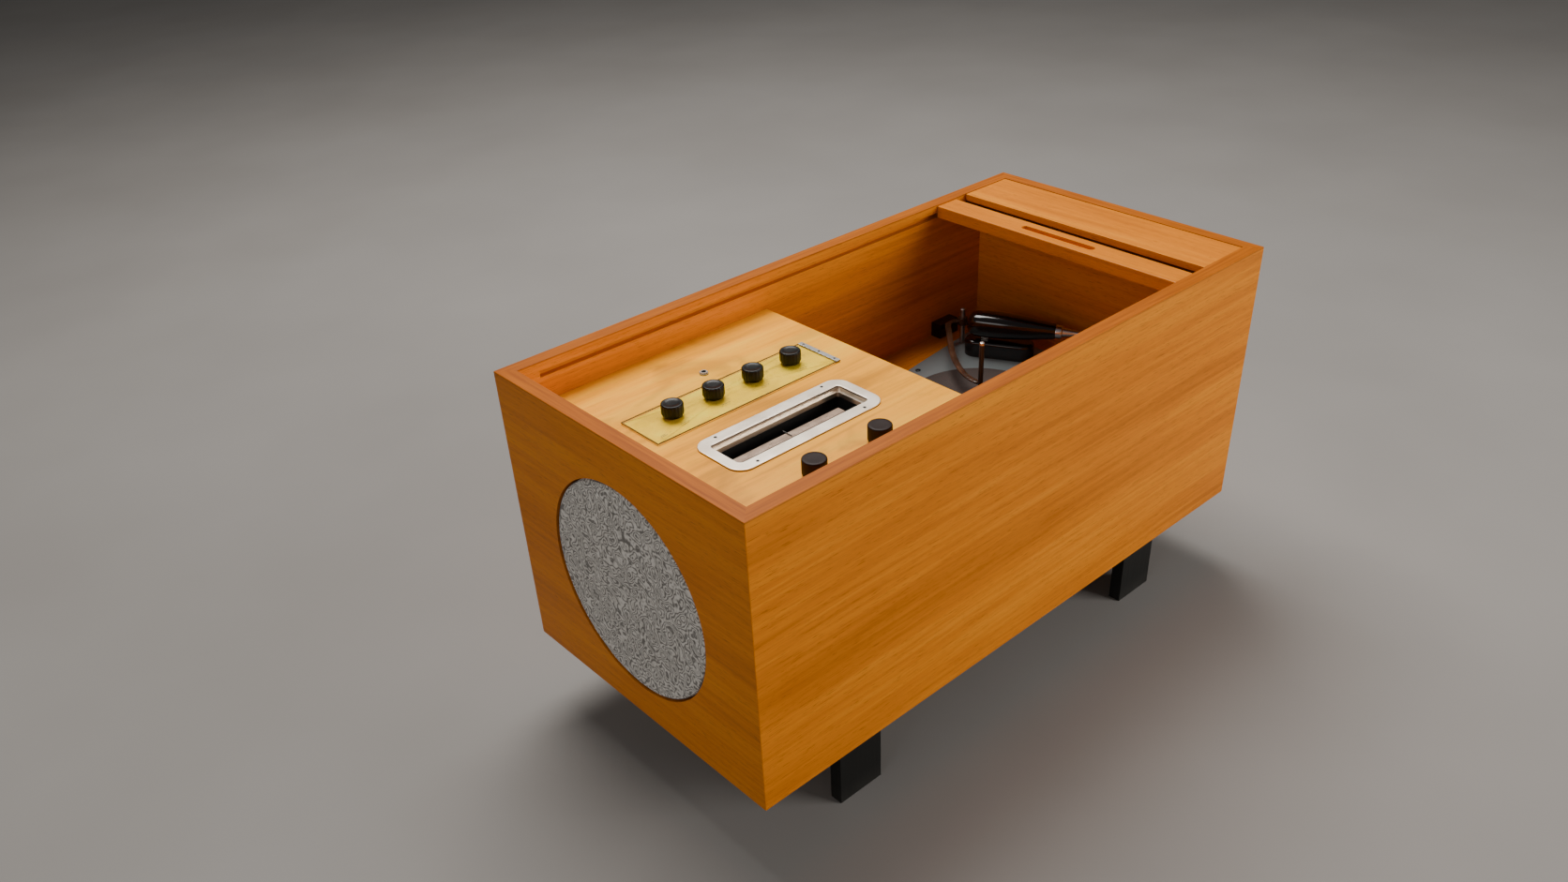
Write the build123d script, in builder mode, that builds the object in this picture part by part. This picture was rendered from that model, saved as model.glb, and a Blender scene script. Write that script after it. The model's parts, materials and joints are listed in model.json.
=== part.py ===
from build123d import *

import os
from math import cos, radians, sin

os.makedirs("parts", exist_ok=True)

# A low radio phonograph console: a long mitred teak box on four board legs, with a loudspeaker in
# one end, a radio under a recessed control panel, a record changer on a lower motor board, and a
# tambour lid that stores under a fixed top panel and down behind a divider at the other end.
# Origin: middle of the floor under the console. +X away from the loudspeaker, -Y front, +Z up. mm.

# Driving dimensions
LENGTH = 914.0
WIDTH = 450.0
BOX_HEIGHT = 389.0
LEG_HEIGHT = 108.0
WALL = 20.0
ARRIS = 1.2
FIT = 0.3

RIM = LEG_HEIGHT + BOX_HEIGHT
INNER_Y = WIDTH / 2 - WALL


def x_at(from_speaker_end):
    """X of a point measured from the loudspeaker end's outside face."""
    return from_speaker_end - LENGTH / 2


def y_at(from_front):
    """Y of a point measured from the front's outside face."""
    return from_front - WIDTH / 2


def z_at(below_rim):
    """Z of a point measured down from the rim."""
    return RIM - below_rim


def finish(builder, label):
    """Label a finished piece and write it as its own STEP file."""
    builder.part.label = label
    export_step(builder.part, f"parts/{label}.step")


def block(x_span, y_span, z_span, rounding=0.0):
    """A plain board between two X, two Y and two Z values, with its edges eased."""
    with BuildPart() as board:
        with BuildSketch(Plane.XY.offset(z_span[0])):
            with Locations((sum(x_span) / 2, sum(y_span) / 2)):
                Rectangle(x_span[1] - x_span[0], y_span[1] - y_span[0])
        extrude(amount=z_span[1] - z_span[0])
        if rounding:
            fillet(board.edges(), rounding)
    return board


# Levels below the rim
GROOVE_TOP = 12.0
GROOVE_WIDTH = 8.0
GROOVE_DEPTH = 8.0
PANEL_LEVEL = 52.0
PANEL_THICK = 8.0
MOTOR_BOARD_LEVEL = 209.0
MOTOR_BOARD_THICK = 12.0
BOTTOM_THICK = 16.0
PANEL_TOP = z_at(PANEL_LEVEL)
PANEL_UNDER = PANEL_TOP - PANEL_THICK
BOARD_TOP = z_at(MOTOR_BOARD_LEVEL)
BOARD_UNDER = BOARD_TOP - MOTOR_BOARD_THICK
FLOOR_TOP = LEG_HEIGHT + BOTTOM_THICK

# Stations along the length, from the loudspeaker end
PANEL_END = 403.0
PARTITION_THICK = 12.0
DIVIDER_FACE = 840.0
DIVIDER_THICK = 12.0
FIXED_TOP_START = 803.0

# Tambour track: along under the rim, down behind the divider, back along the floor
TRACK_LEVEL = GROOVE_TOP + GROOVE_WIDTH / 2
TRACK_START = 48.6
TRACK_DROP = 873.0
TRACK_FLOOR = FLOOR_TOP + 9.0
TRACK_END = 500.0
TRACK_RADIUS = 40.0
SLAT_PITCH = 12.0
SLAT_WIDTH = 10.6
SLAT_THICK = 5.0
SLAT_COUNT = 61
SLAT_TONGUE = 6.0
CANVAS_THICK = 0.6
CANVAS_END = 550.0
GLUE_LINE = 0.1

# Lead bar of the lid
BAR_START = 741.0
BAR_WIDTH = 40.0
BAR_THICK = 17.0
BAR_BELOW_RIM = 2.0
BAR_TONGUE = 12.0
FINGER_SLOT = (11.0, 124.0, 7.0)

# Loudspeaker
GRILLE_HEIGHT = LEG_HEIGHT + 186.0
GRILLE_RADIUS = 140.0
GRILLE_GAP = 1.2
GRILLE_RING = 15.0
CONE_RADIUS = 105.0
BAFFLE_THICK = 12.0


def track_line(start, end, inset=0.0):
    """The tambour's way on the XZ plane, moved inwards by inset, as corner points and a radius."""
    points = (
        (x_at(start), z_at(TRACK_LEVEL) - inset),
        (x_at(TRACK_DROP) - inset, z_at(TRACK_LEVEL) - inset),
        (x_at(TRACK_DROP) - inset, TRACK_FLOOR + inset),
        (x_at(end), TRACK_FLOOR + inset),
    )
    return points, TRACK_RADIUS - inset


# ---------------------------------------------------------------- cabinet walls
with BuildPart() as cabinet_hull:
    with Locations((0, 0, LEG_HEIGHT + BOX_HEIGHT / 2)):
        Box(LENGTH, WIDTH, BOX_HEIGHT)
    fillet(cabinet_hull.edges(), ARRIS)


def mitred_wall(outline):
    """One wall of the box, from its plan outline, with the cabinet's eased outside edges."""
    with BuildPart() as wall:
        with BuildSketch(Plane.XY.offset(LEG_HEIGHT)):
            Polygon(*outline, align=None)
        extrude(amount=BOX_HEIGHT)
        add(cabinet_hull.part, mode=Mode.INTERSECT)
    return wall


half_length = LENGTH / 2
half_width = WIDTH / 2
inner_x = half_length - WALL
front_outline = (
    (-half_length, -half_width),
    (half_length, -half_width),
    (inner_x, -INNER_Y),
    (-inner_x, -INNER_Y),
)
end_outline = (
    (-half_length, half_width),
    (-half_length, -half_width),
    (-inner_x, -INNER_Y),
    (-inner_x, INNER_Y),
)

with BuildPart() as cabinet_side_front:
    add(mitred_wall(front_outline).part)
    with BuildSketch(Plane.XZ.offset(INNER_Y)):
        with BuildLine():
            groove_points, groove_radius = track_line(TRACK_START, TRACK_END)
            FilletPolyline(*groove_points, radius=groove_radius)
        trace(line_width=GROOVE_WIDTH)
    extrude(amount=GROOVE_DEPTH, mode=Mode.SUBTRACT)
finish(cabinet_side_front, "cabinet_side_front")

with BuildPart() as cabinet_side_back:
    mirror(cabinet_side_front.part, about=Plane.XZ)
finish(cabinet_side_back, "cabinet_side_back")

with BuildPart() as cabinet_end_speaker:
    add(mitred_wall(end_outline).part)
    with BuildSketch(Plane.YZ.offset(-half_length)):
        with Locations((0, GRILLE_HEIGHT)):
            Circle(GRILLE_RADIUS + GRILLE_GAP)
    extrude(amount=WALL, mode=Mode.SUBTRACT)
finish(cabinet_end_speaker, "cabinet_end_speaker")

with BuildPart() as cabinet_end_storage:
    mirror(mitred_wall(end_outline).part, about=Plane.YZ)
finish(cabinet_end_storage, "cabinet_end_storage")

# ---------------------------------------------------------------- floor, divider, partition
VENT_LENGTH = 60.0
VENT_WIDTH = 8.0
VENT_PITCH = 24.0
CORD_HOLE = 4.5

with BuildPart() as cabinet_bottom:
    add(block((-inner_x, inner_x), (-INNER_Y, INNER_Y), (LEG_HEIGHT, FLOOR_TOP)).part)
    with BuildSketch(Plane.XY.offset(LEG_HEIGHT)):
        with Locations((x_at(300), 0)):
            with GridLocations(VENT_PITCH, VENT_LENGTH * 2, 6, 2):
                SlotOverall(VENT_LENGTH, VENT_WIDTH, rotation=90)
        with Locations((x_at(360), y_at(400))):
            Circle(CORD_HOLE)
    extrude(amount=BOTTOM_THICK, mode=Mode.SUBTRACT)
finish(cabinet_bottom, "cabinet_bottom")

divider = block(
    (x_at(DIVIDER_FACE), x_at(DIVIDER_FACE + DIVIDER_THICK)),
    (-INNER_Y, INNER_Y),
    (LEG_HEIGHT + 39.0, z_at(30.0)),
)
finish(divider, "divider")

partition = block(
    (x_at(PANEL_END - PARTITION_THICK), x_at(PANEL_END)),
    (-INNER_Y, INNER_Y),
    (FLOOR_TOP, PANEL_UNDER),
)
finish(partition, "chassis_partition")

# ---------------------------------------------------------------- fixed top panel
FIXED_TOP_THICK = 10.0
FIXED_TOP_GAP = 1.2

fixed_top_panel = block(
    (x_at(FIXED_TOP_START), inner_x - FIXED_TOP_GAP),
    (-INNER_Y + FIT, INNER_Y - FIXED_TOP_GAP),
    (z_at(FIXED_TOP_THICK), z_at(FIT)),
    rounding=0.6,
)
finish(fixed_top_panel, "fixed_top_panel")

# ---------------------------------------------------------------- legs
LEG_SIZE = (70.0, 18.0)
LEG_FROM_END = 137.0
LEG_INSET = 24.0
RAIL_HEIGHT = 30.0
leg_x = half_length - LEG_FROM_END - LEG_SIZE[0] / 2
leg_y = half_width - LEG_INSET - LEG_SIZE[1] / 2
rail_y = leg_y - LEG_SIZE[1] / 2

for side_name, side in (("front", -1), ("back", 1)):
    for end_name, end in (("speaker_end", -1), ("storage_end", 1)):
        leg = block(
            (end * leg_x - LEG_SIZE[0] / 2, end * leg_x + LEG_SIZE[0] / 2),
            (side * leg_y - LEG_SIZE[1] / 2, side * leg_y + LEG_SIZE[1] / 2),
            (0.0, LEG_HEIGHT),
            rounding=0.8,
        )
        finish(leg, f"leg_{side_name}_{end_name}")

with BuildPart() as leg_rails:
    with Locations((-leg_x, 0, LEG_HEIGHT - RAIL_HEIGHT / 2), (leg_x, 0, LEG_HEIGHT - RAIL_HEIGHT / 2)):
        Box(LEG_SIZE[1], 2 * rail_y, RAIL_HEIGHT)
finish(leg_rails, "leg_rails")

# ---------------------------------------------------------------- lid: lead bar and tambour curtain
with BuildPart() as lid_bar:
    bar_top = z_at(BAR_BELOW_RIM)
    with BuildSketch(Plane.XY.offset(bar_top - BAR_THICK)):
        with Locations((x_at(BAR_START + BAR_WIDTH / 2), 0)):
            Rectangle(BAR_WIDTH, 2 * (INNER_Y - 0.5))
    extrude(amount=BAR_THICK)
    fillet(lid_bar.edges().group_by(Axis.Z)[-1], 1.5)
    with BuildSketch(Plane.XY.offset(bar_top)):
        with Locations((x_at(BAR_START + BAR_WIDTH / 2), 0)):
            SlotOverall(FINGER_SLOT[1], FINGER_SLOT[0], rotation=90)
    extrude(amount=-FINGER_SLOT[2], mode=Mode.SUBTRACT)
    tongue_x = x_at(BAR_START + BAR_WIDTH - BAR_TONGUE / 2)
    for side in (-1, 1):
        with Locations((tongue_x, side * (INNER_Y + 2.5), z_at(TRACK_LEVEL))):
            Box(BAR_TONGUE, 8.0, 6.0)
finish(lid_bar, "lid_bar")

with BuildPart() as tambour_curtain:
    curtain_start = BAR_START + BAR_WIDTH
    track_points, track_radius = track_line(curtain_start, TRACK_END)
    with BuildLine(Plane.XZ) as slat_track:
        FilletPolyline(*track_points, radius=track_radius)
    slat_wire = slat_track.wire()
    for number in range(SLAT_COUNT):
        station = 1.0 + SLAT_WIDTH / 2 + number * SLAT_PITCH
        along = slat_wire.tangent_at(station / slat_wire.length)
        slat_plane = Plane(
            origin=slat_wire.position_at(station / slat_wire.length),
            x_dir=along,
            z_dir=along.cross(Vector(0, 1, 0)),
        )
        with BuildSketch(slat_plane):
            Rectangle(SLAT_WIDTH, 2 * (INNER_Y + SLAT_TONGUE))
        extrude(amount=SLAT_THICK / 2, both=True)
    canvas_inset = SLAT_THICK / 2 + CANVAS_THICK / 2 + GLUE_LINE
    canvas_points, canvas_radius = track_line(curtain_start + 1.0, CANVAS_END, canvas_inset)
    with BuildSketch(Plane.XZ):
        with BuildLine():
            FilletPolyline(*canvas_points, radius=canvas_radius)
        trace(line_width=CANVAS_THICK)
    extrude(amount=INNER_Y - 10.0, both=True)
finish(tambour_curtain, "tambour_curtain")

# ---------------------------------------------------------------- loudspeaker end
def on_speaker_axis(from_speaker_end):
    """A sketch plane across the loudspeaker's axis, facing away from the speaker end."""
    origin = (x_at(from_speaker_end), 0, GRILLE_HEIGHT)
    return Plane(origin=origin, x_dir=(0, 1, 0), z_dir=(1, 0, 0))


with BuildPart() as grille_ring:
    with BuildSketch(on_speaker_axis(2.2)):
        Circle(GRILLE_RADIUS - 1.2)
        Circle(GRILLE_RADIUS - GRILLE_RING, mode=Mode.SUBTRACT)
    extrude(amount=WALL - 2.2)
finish(grille_ring, "grille_ring")

with BuildPart() as grille_cloth:
    with BuildSketch(on_speaker_axis(0.8)):
        Circle(GRILLE_RADIUS)
    extrude(amount=WALL - 0.8)
    fillet(grille_cloth.edges().group_by(Axis.X)[0], 3.0)
    with BuildSketch(on_speaker_axis(2.2)):
        Circle(GRILLE_RADIUS - 1.2)
    extrude(amount=WALL, mode=Mode.SUBTRACT)
finish(grille_cloth, "grille_cloth")

with BuildPart() as speaker_baffle:
    add(block((-inner_x, -inner_x + BAFFLE_THICK), (-200, 200), (FLOOR_TOP, PANEL_UNDER - 20)).part)
    with BuildSketch(on_speaker_axis(WALL)):
        Circle(CONE_RADIUS)
    extrude(amount=BAFFLE_THICK, mode=Mode.SUBTRACT)
finish(speaker_baffle, "speaker_baffle")

BAFFLE_BACK = WALL + BAFFLE_THICK
FLANGE_RADIUS = 120.0
NECK_RADIUS = 40.0
BASKET_DEPTH = 62.0
BASKET_SHEET = 2.0
BASKET_WINDOWS = 6
MAGNET_RADIUS = 36.0
MAGNET_DEPTH = 26.0
VOICE_RADIUS = 16.0


def speaker_turning(profile):
    """A piece turned about the loudspeaker's axis from (distance in, radius) points."""
    with BuildPart() as turning:
        with BuildSketch(Plane.XZ):
            Polygon(*[(x_at(a), GRILLE_HEIGHT + r) for a, r in profile], align=None)
        revolve(axis=Axis((0, 0, GRILLE_HEIGHT), (1, 0, 0)))
    return turning


neck_at = BAFFLE_BACK + BASKET_DEPTH
with BuildPart() as speaker_frame:
    basket_profile = (
        (BAFFLE_BACK, FLANGE_RADIUS),
        (BAFFLE_BACK, CONE_RADIUS - 3),
        (BAFFLE_BACK + BASKET_SHEET, CONE_RADIUS - 3),
        (neck_at, NECK_RADIUS - 6),
        (neck_at, VOICE_RADIUS + 4),
        (neck_at + BASKET_SHEET, VOICE_RADIUS + 4),
        (neck_at + BASKET_SHEET, NECK_RADIUS - 5),
        (BAFFLE_BACK + 2 * BASKET_SHEET, CONE_RADIUS),
        (BAFFLE_BACK + BASKET_SHEET, FLANGE_RADIUS),
    )
    add(speaker_turning(basket_profile).part)
    with BuildSketch(on_speaker_axis(BAFFLE_BACK + 12)):
        with PolarLocations(72, BASKET_WINDOWS):
            SlotCenterToCenter(18, 24)
    extrude(amount=BASKET_DEPTH - 16, mode=Mode.SUBTRACT)
finish(speaker_frame, "speaker_frame")

cone_profile = (
    (BAFFLE_BACK + 1, CONE_RADIUS - 3.5),
    (BAFFLE_BACK - 3, CONE_RADIUS - 8),
    (BAFFLE_BACK + 1, CONE_RADIUS - 13),
    (BAFFLE_BACK + 40, VOICE_RADIUS),
    (BAFFLE_BACK + 32, 0),
    (BAFFLE_BACK + 33.2, 0),
    (BAFFLE_BACK + 42, VOICE_RADIUS),
    (BAFFLE_BACK + 2.2, CONE_RADIUS - 13),
    (BAFFLE_BACK - 1.6, CONE_RADIUS - 8),
    (BAFFLE_BACK + 1, CONE_RADIUS - 5),
)
finish(speaker_turning(cone_profile), "speaker_cone")

with BuildPart() as speaker_magnet:
    with BuildSketch(on_speaker_axis(neck_at + BASKET_SHEET)):
        Circle(MAGNET_RADIUS)
    extrude(amount=MAGNET_DEPTH)
    fillet(speaker_magnet.edges(), 2.0)
finish(speaker_magnet, "speaker_magnet")

# ---------------------------------------------------------------- control panel and its fittings
BLACK_KNOB_X = [132.0 + 61.4 * number for number in range(4)]
BLACK_KNOB_Y = 286.5
BROWN_KNOB_X = (160.0, 259.5)
BROWN_KNOB_Y = 75.5
JACK_AT = (225.5, 345.5)
BUSH_RADIUS = 5.0
JACK_RADIUS = 4.5
JACK_BORE = 3.2
JACK_DEPTH = 18.0
HOLE_EASE = 0.05
SHAFT_RADIUS = 3.0
WINDOW_CENTRE = (217.0, 176.0)
WINDOW_FLANGE = (228.0, 86.0)
WINDOW_OPENING = (199.0, 53.0)
WINDOW_WALL = 2.0
PLATE_SPAN_X = (80.0, 364.0)
PLATE_SPAN_Y = (247.0, 318.0)
PLATE_THICK = 1.0
COVER_THICK = 1.5
PLATE_MARGIN = 2.5

bush_places = [(x, BLACK_KNOB_Y) for x in BLACK_KNOB_X] + [(x, BROWN_KNOB_Y) for x in BROWN_KNOB_X]
window_at = (x_at(WINDOW_CENTRE[0]), y_at(WINDOW_CENTRE[1]))


def plan_spots(places):
    """Places given from the loudspeaker end and from the front, as plan coordinates."""
    return [(x_at(x), y_at(y)) for x, y in places]


with BuildPart() as control_panel:
    with BuildSketch(Plane.XY.offset(PANEL_UNDER)):
        with Locations(((x_at(WALL) + x_at(PANEL_END)) / 2, 0)):
            Rectangle(PANEL_END - WALL, 2 * INNER_Y)
        with Locations(window_at):
            Rectangle(WINDOW_OPENING[0] + 6, WINDOW_OPENING[1] + 6, mode=Mode.SUBTRACT)
        with Locations(*plan_spots(bush_places)):
            Circle(BUSH_RADIUS + HOLE_EASE, mode=Mode.SUBTRACT)
        with Locations(*plan_spots([JACK_AT])):
            Circle(JACK_RADIUS, mode=Mode.SUBTRACT)
    extrude(amount=PANEL_THICK)
finish(control_panel, "control_panel")

# Each pair of cleats: its middle from the loudspeaker end, its length and its level
CLEAT = 15.0
CLEATS = (
    (211.0, 350.0, PANEL_UNDER - CLEAT / 2),
    (621.5, 437.0, BOARD_UNDER - CLEAT / 2),
    (257.0, 260.0, z_at(205.0)),
)
with BuildPart() as support_cleats:
    for middle, cleat_length, level in CLEATS:
        with Locations(*[(x_at(middle), side * (INNER_Y - CLEAT / 2), level) for side in (-1, 1)]):
            Box(cleat_length, CLEAT, CLEAT)
    with Locations((x_at(LENGTH - WALL - 7), 0, z_at(FIXED_TOP_THICK + 5))):
        Box(14, 380, 10)
finish(support_cleats, "support_cleats")

POT_RADIUS = 12.0
POT_DEPTH = 16.0
POT_BORE = 14.0
with BuildPart() as control_potentiometers:
    spots = plan_spots(bush_places)
    with BuildSketch(Plane.XY.offset(PANEL_UNDER - POT_DEPTH)):
        with Locations(*spots):
            Circle(POT_RADIUS)
    extrude(amount=POT_DEPTH)
    with BuildSketch(Plane.XY.offset(PANEL_UNDER)):
        with Locations(*spots):
            Circle(BUSH_RADIUS)
    extrude(amount=PANEL_THICK)
    with BuildSketch(Plane.XY.offset(PANEL_UNDER - POT_BORE)):
        with Locations(*spots):
            Circle(SHAFT_RADIUS + HOLE_EASE)
    extrude(amount=PANEL_THICK + POT_BORE, mode=Mode.SUBTRACT)
finish(control_potentiometers, "control_potentiometers")

plate_centre = (x_at(sum(PLATE_SPAN_X) / 2), y_at(sum(PLATE_SPAN_Y) / 2))
plate_size = (PLATE_SPAN_X[1] - PLATE_SPAN_X[0], PLATE_SPAN_Y[1] - PLATE_SPAN_Y[0])
black_spots = plan_spots([(x, BLACK_KNOB_Y) for x in BLACK_KNOB_X])
PLATE_SCREWS = (5.0, 35.5, 66.0)
STRIP_WIDTH = 9.0


def plate_sheet(level, thick, margin, holes):
    """A flat sheet over the knob row, with clearance holes for the knob shafts."""
    with BuildPart() as sheet:
        with BuildSketch(Plane.XY.offset(level)):
            with Locations(plate_centre):
                Rectangle(plate_size[0] - 2 * margin, plate_size[1] - 2 * margin)
            with Locations(*black_spots):
                Circle(holes, mode=Mode.SUBTRACT)
        extrude(amount=thick)
    return sheet


finish(plate_sheet(PANEL_TOP, PLATE_THICK, PLATE_MARGIN, 6.0), "tone_plate")
finish(plate_sheet(PANEL_TOP + PLATE_THICK, COVER_THICK, 0.0, 6.5), "tone_plate_cover")
COVER_TOP = PANEL_TOP + PLATE_THICK + COVER_THICK

# One strip at the plate's far end and the small screws of the plate and of the window frame
FRAME_THICK = 2.2
FRAME_TOP = PANEL_TOP + FRAME_THICK
FRAME_SCREW_X = 82.3
FRAME_SCREW_Y = 36.5

with BuildPart() as panel_screws:
    strip_x = x_at(PLATE_SPAN_X[1] - STRIP_WIDTH / 2)
    with Locations((strip_x, plate_centre[1], COVER_TOP + 0.3)):
        Box(STRIP_WIDTH, plate_size[1], 0.6)
    with BuildSketch(Plane.XY.offset(COVER_TOP + 0.6)):
        with Locations(*[(strip_x, y_at(PLATE_SPAN_Y[0] + offset)) for offset in PLATE_SCREWS]):
            Circle(1.6)
    extrude(amount=0.5)
    with BuildSketch(Plane.XY.offset(FRAME_TOP)):
        with Locations(window_at):
            with GridLocations(2 * FRAME_SCREW_X, 2 * FRAME_SCREW_Y, 2, 2):
                Circle(2.3)
    extrude(amount=0.6)

# Each tier of the frame's inner wall: its drop, depth, thickness outwards and step inwards
FRAME_STEP = 3.5
FRAME_TIERS = (
    (0.0, 4.5, WINDOW_WALL, 0.0),
    (4.5, 1.5, WINDOW_WALL, FRAME_STEP),
    (6.0, 4.5, WINDOW_WALL - FRAME_STEP, FRAME_STEP),
)
with BuildPart() as window_frame:
    with BuildSketch(Plane.XY.offset(PANEL_TOP)):
        with Locations(window_at):
            RectangleRounded(*WINDOW_FLANGE, 20.0)
            RectangleRounded(*WINDOW_OPENING, 6.0, mode=Mode.SUBTRACT)
    extrude(amount=FRAME_THICK)
    fillet(window_frame.edges().group_by(Axis.Z)[-1], 0.9)
    for drop, depth, outside, step in FRAME_TIERS:
        with BuildSketch(Plane.XY.offset(PANEL_TOP - drop - depth)):
            with Locations(window_at):
                Rectangle(WINDOW_OPENING[0] + 2 * outside, WINDOW_OPENING[1] + 2 * outside)
                inner_size = (WINDOW_OPENING[0] - 2 * step, WINDOW_OPENING[1] - 2 * step)
                RectangleRounded(*inner_size, 6.0 - step / 2, mode=Mode.SUBTRACT)
        extrude(amount=depth)
finish(window_frame, "window_frame")

WELL_SIZE = (WINDOW_OPENING[0] + 12, WINDOW_OPENING[1] + 12)
WELL_DEPTH = 40.0
WELL_WALL = 1.5
with BuildPart() as dial_well:
    with BuildSketch(Plane.XY.offset(PANEL_UNDER - WELL_DEPTH)):
        with Locations(window_at):
            Rectangle(*WELL_SIZE)
    extrude(amount=WELL_DEPTH)
    with BuildSketch(Plane.XY.offset(PANEL_UNDER - WELL_DEPTH + WELL_WALL)):
        with Locations(window_at):
            Rectangle(WELL_SIZE[0] - 2 * WELL_WALL, WELL_SIZE[1] - 2 * WELL_WALL)
    extrude(amount=WELL_DEPTH, mode=Mode.SUBTRACT)
finish(dial_well, "dial_well")

SCALE_DROP = 16.0
SCALE_SPAN_X = (131.0, 300.0)
SCALE_SPAN_Y = (173.5, 185.0)
SCALE_THICK = 1.5
SCALE_FOOT = 3.0
well_floor = PANEL_UNDER - WELL_DEPTH + WELL_WALL
with BuildPart() as dial_scale:
    scale_x = (x_at(SCALE_SPAN_X[0]), x_at(SCALE_SPAN_X[1]))
    scale_y = (y_at(SCALE_SPAN_Y[0]), y_at(SCALE_SPAN_Y[1]))
    scale_top = PANEL_TOP - SCALE_DROP
    scale_under = scale_top - SCALE_THICK
    add(block(scale_x, scale_y, (scale_under, scale_top)).part)
    for foot in (scale_x[0], scale_x[1] - SCALE_FOOT):
        add(block((foot, foot + SCALE_FOOT), scale_y, (well_floor, scale_under)).part)
finish(dial_scale, "dial_scale")

POINTER_X = 216.0
with BuildPart() as dial_pointer:
    needle_x = (x_at(POINTER_X) - 0.4, x_at(POINTER_X) + 0.4)
    needle_y = (scale_y[0] + 1, scale_y[1] + 6)
    add(block(needle_x, needle_y, (scale_top + 0.6, scale_top + 1.4)).part)
    add(block(needle_x, (needle_y[1] - 1, needle_y[1]), (scale_top - 14, scale_top + 1.4)).part)
    carriage_x = (x_at(POINTER_X) - 7, x_at(POINTER_X) + 7)
    add(block(carriage_x, (needle_y[1] - 2, needle_y[1] + 2), (scale_top - 20, scale_top - 14)).part)
finish(dial_pointer, "dial_pointer")

with BuildPart() as jack_socket:
    with BuildSketch(Plane.XY.offset(PANEL_TOP)):
        with Locations(*plan_spots([JACK_AT])):
            RegularPolygon(6.2, 6)
    extrude(amount=2.2)
    chamfer(jack_socket.edges().group_by(Axis.Z)[-1], 0.5)
    with BuildSketch(Plane.XY.offset(PANEL_UNDER - JACK_DEPTH)):
        with Locations(*plan_spots([JACK_AT])):
            Circle(JACK_RADIUS)
    extrude(amount=JACK_DEPTH + PANEL_THICK + 3.4)
    with BuildSketch(Plane.XY.offset(PANEL_UNDER - JACK_DEPTH + 4)):
        with Locations(*plan_spots([JACK_AT])):
            Circle(JACK_BORE)
    extrude(amount=JACK_DEPTH + PANEL_THICK, mode=Mode.SUBTRACT)
finish(jack_socket, "jack_socket")

# ---------------------------------------------------------------- knobs, each with its steel shaft
BLACK_KNOB_RADIUS = 13.6
BLACK_KNOB_HEIGHT = 16.5
BLACK_FOOT_RADIUS = 12.2
BLACK_FOOT_HEIGHT = 2.8
BROWN_KNOB_RADIUS = 14.3
BROWN_KNOB_HEIGHT = 21.0
KNOB_CLEARANCE = 0.8
FLUTES = 18
FLUTE_DEPTH = 0.35
SHAFT_BOTTOM = PANEL_UNDER - POT_BORE + 0.5


def moulded_knob(spot, base, height, profile, edge_radius, flute_radius):
    """A moulded knob, turned from its profile, with its steel shaft as a second solid."""
    with BuildPart() as moulding:
        with BuildSketch(Plane.XZ):
            Polygon(*profile, align=None)
        revolve(axis=Axis.Z)
        fillet(moulding.edges().group_by(Axis.Z)[-1], edge_radius)
        if flute_radius:
            with BuildSketch(Plane.XY):
                with PolarLocations(BLACK_KNOB_RADIUS + flute_radius - FLUTE_DEPTH, FLUTES):
                    Circle(flute_radius)
            extrude(amount=height - edge_radius, mode=Mode.SUBTRACT)
        with BuildSketch(Plane.XY):
            Circle(SHAFT_RADIUS + 0.1)
        extrude(amount=height - 4, mode=Mode.SUBTRACT)
    with BuildPart() as placed:
        with Locations((*spot, base)):
            add(moulding.part)
        with BuildSketch(Plane.XY.offset(SHAFT_BOTTOM)):
            with Locations(spot):
                Circle(SHAFT_RADIUS)
        extrude(amount=base + height - 4.5 - SHAFT_BOTTOM)
    return placed


black_profile = (
    (0, 0),
    (BLACK_FOOT_RADIUS, 0),
    (BLACK_FOOT_RADIUS, BLACK_FOOT_HEIGHT),
    (BLACK_KNOB_RADIUS, BLACK_FOOT_HEIGHT + 1.5),
    (BLACK_KNOB_RADIUS - 0.5, BLACK_KNOB_HEIGHT),
    (0, BLACK_KNOB_HEIGHT),
)
brown_profile = (
    (0, 0),
    (BROWN_KNOB_RADIUS, 0),
    (BROWN_KNOB_RADIUS, BROWN_KNOB_HEIGHT),
    (0, BROWN_KNOB_HEIGHT),
)

for name, place in zip(("bass", "treble", "band", "balance"), black_spots):
    base = COVER_TOP + KNOB_CLEARANCE
    finish(moulded_knob(place, base, BLACK_KNOB_HEIGHT, black_profile, 2.2, 1.1), f"knob_{name}")

brown_spots = plan_spots([(x, BROWN_KNOB_Y) for x in BROWN_KNOB_X])
for name, place in zip(("volume", "tuning"), brown_spots):
    base = PANEL_TOP + KNOB_CLEARANCE
    finish(moulded_knob(place, base, BROWN_KNOB_HEIGHT, brown_profile, 0.9, 0.0), f"knob_{name}")

# ---------------------------------------------------------------- radio works under the panel
CHASSIS_SPAN_X = (135.0, 385.0)
CHASSIS_TOP = z_at(205.0) + CLEAT / 2 + 2.0
CHASSIS_SHEET = 2.0
CHASSIS_SKIRT = 22.0
SKIRT_Y = INNER_Y - CLEAT - 2.0

with BuildPart() as radio_chassis:
    chassis_x = (x_at(CHASSIS_SPAN_X[0]), x_at(CHASSIS_SPAN_X[1]))
    add(block(chassis_x, (-INNER_Y + 1, INNER_Y - 1), (CHASSIS_TOP - CHASSIS_SHEET, CHASSIS_TOP)).part)
    for side in (-1, 1):
        skirt_y = sorted((side * SKIRT_Y, side * (SKIRT_Y - CHASSIS_SHEET)))
        add(block(chassis_x, skirt_y, (CHASSIS_TOP - CHASSIS_SKIRT, CHASSIS_TOP - CHASSIS_SHEET)).part)
finish(radio_chassis, "radio_chassis")

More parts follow.
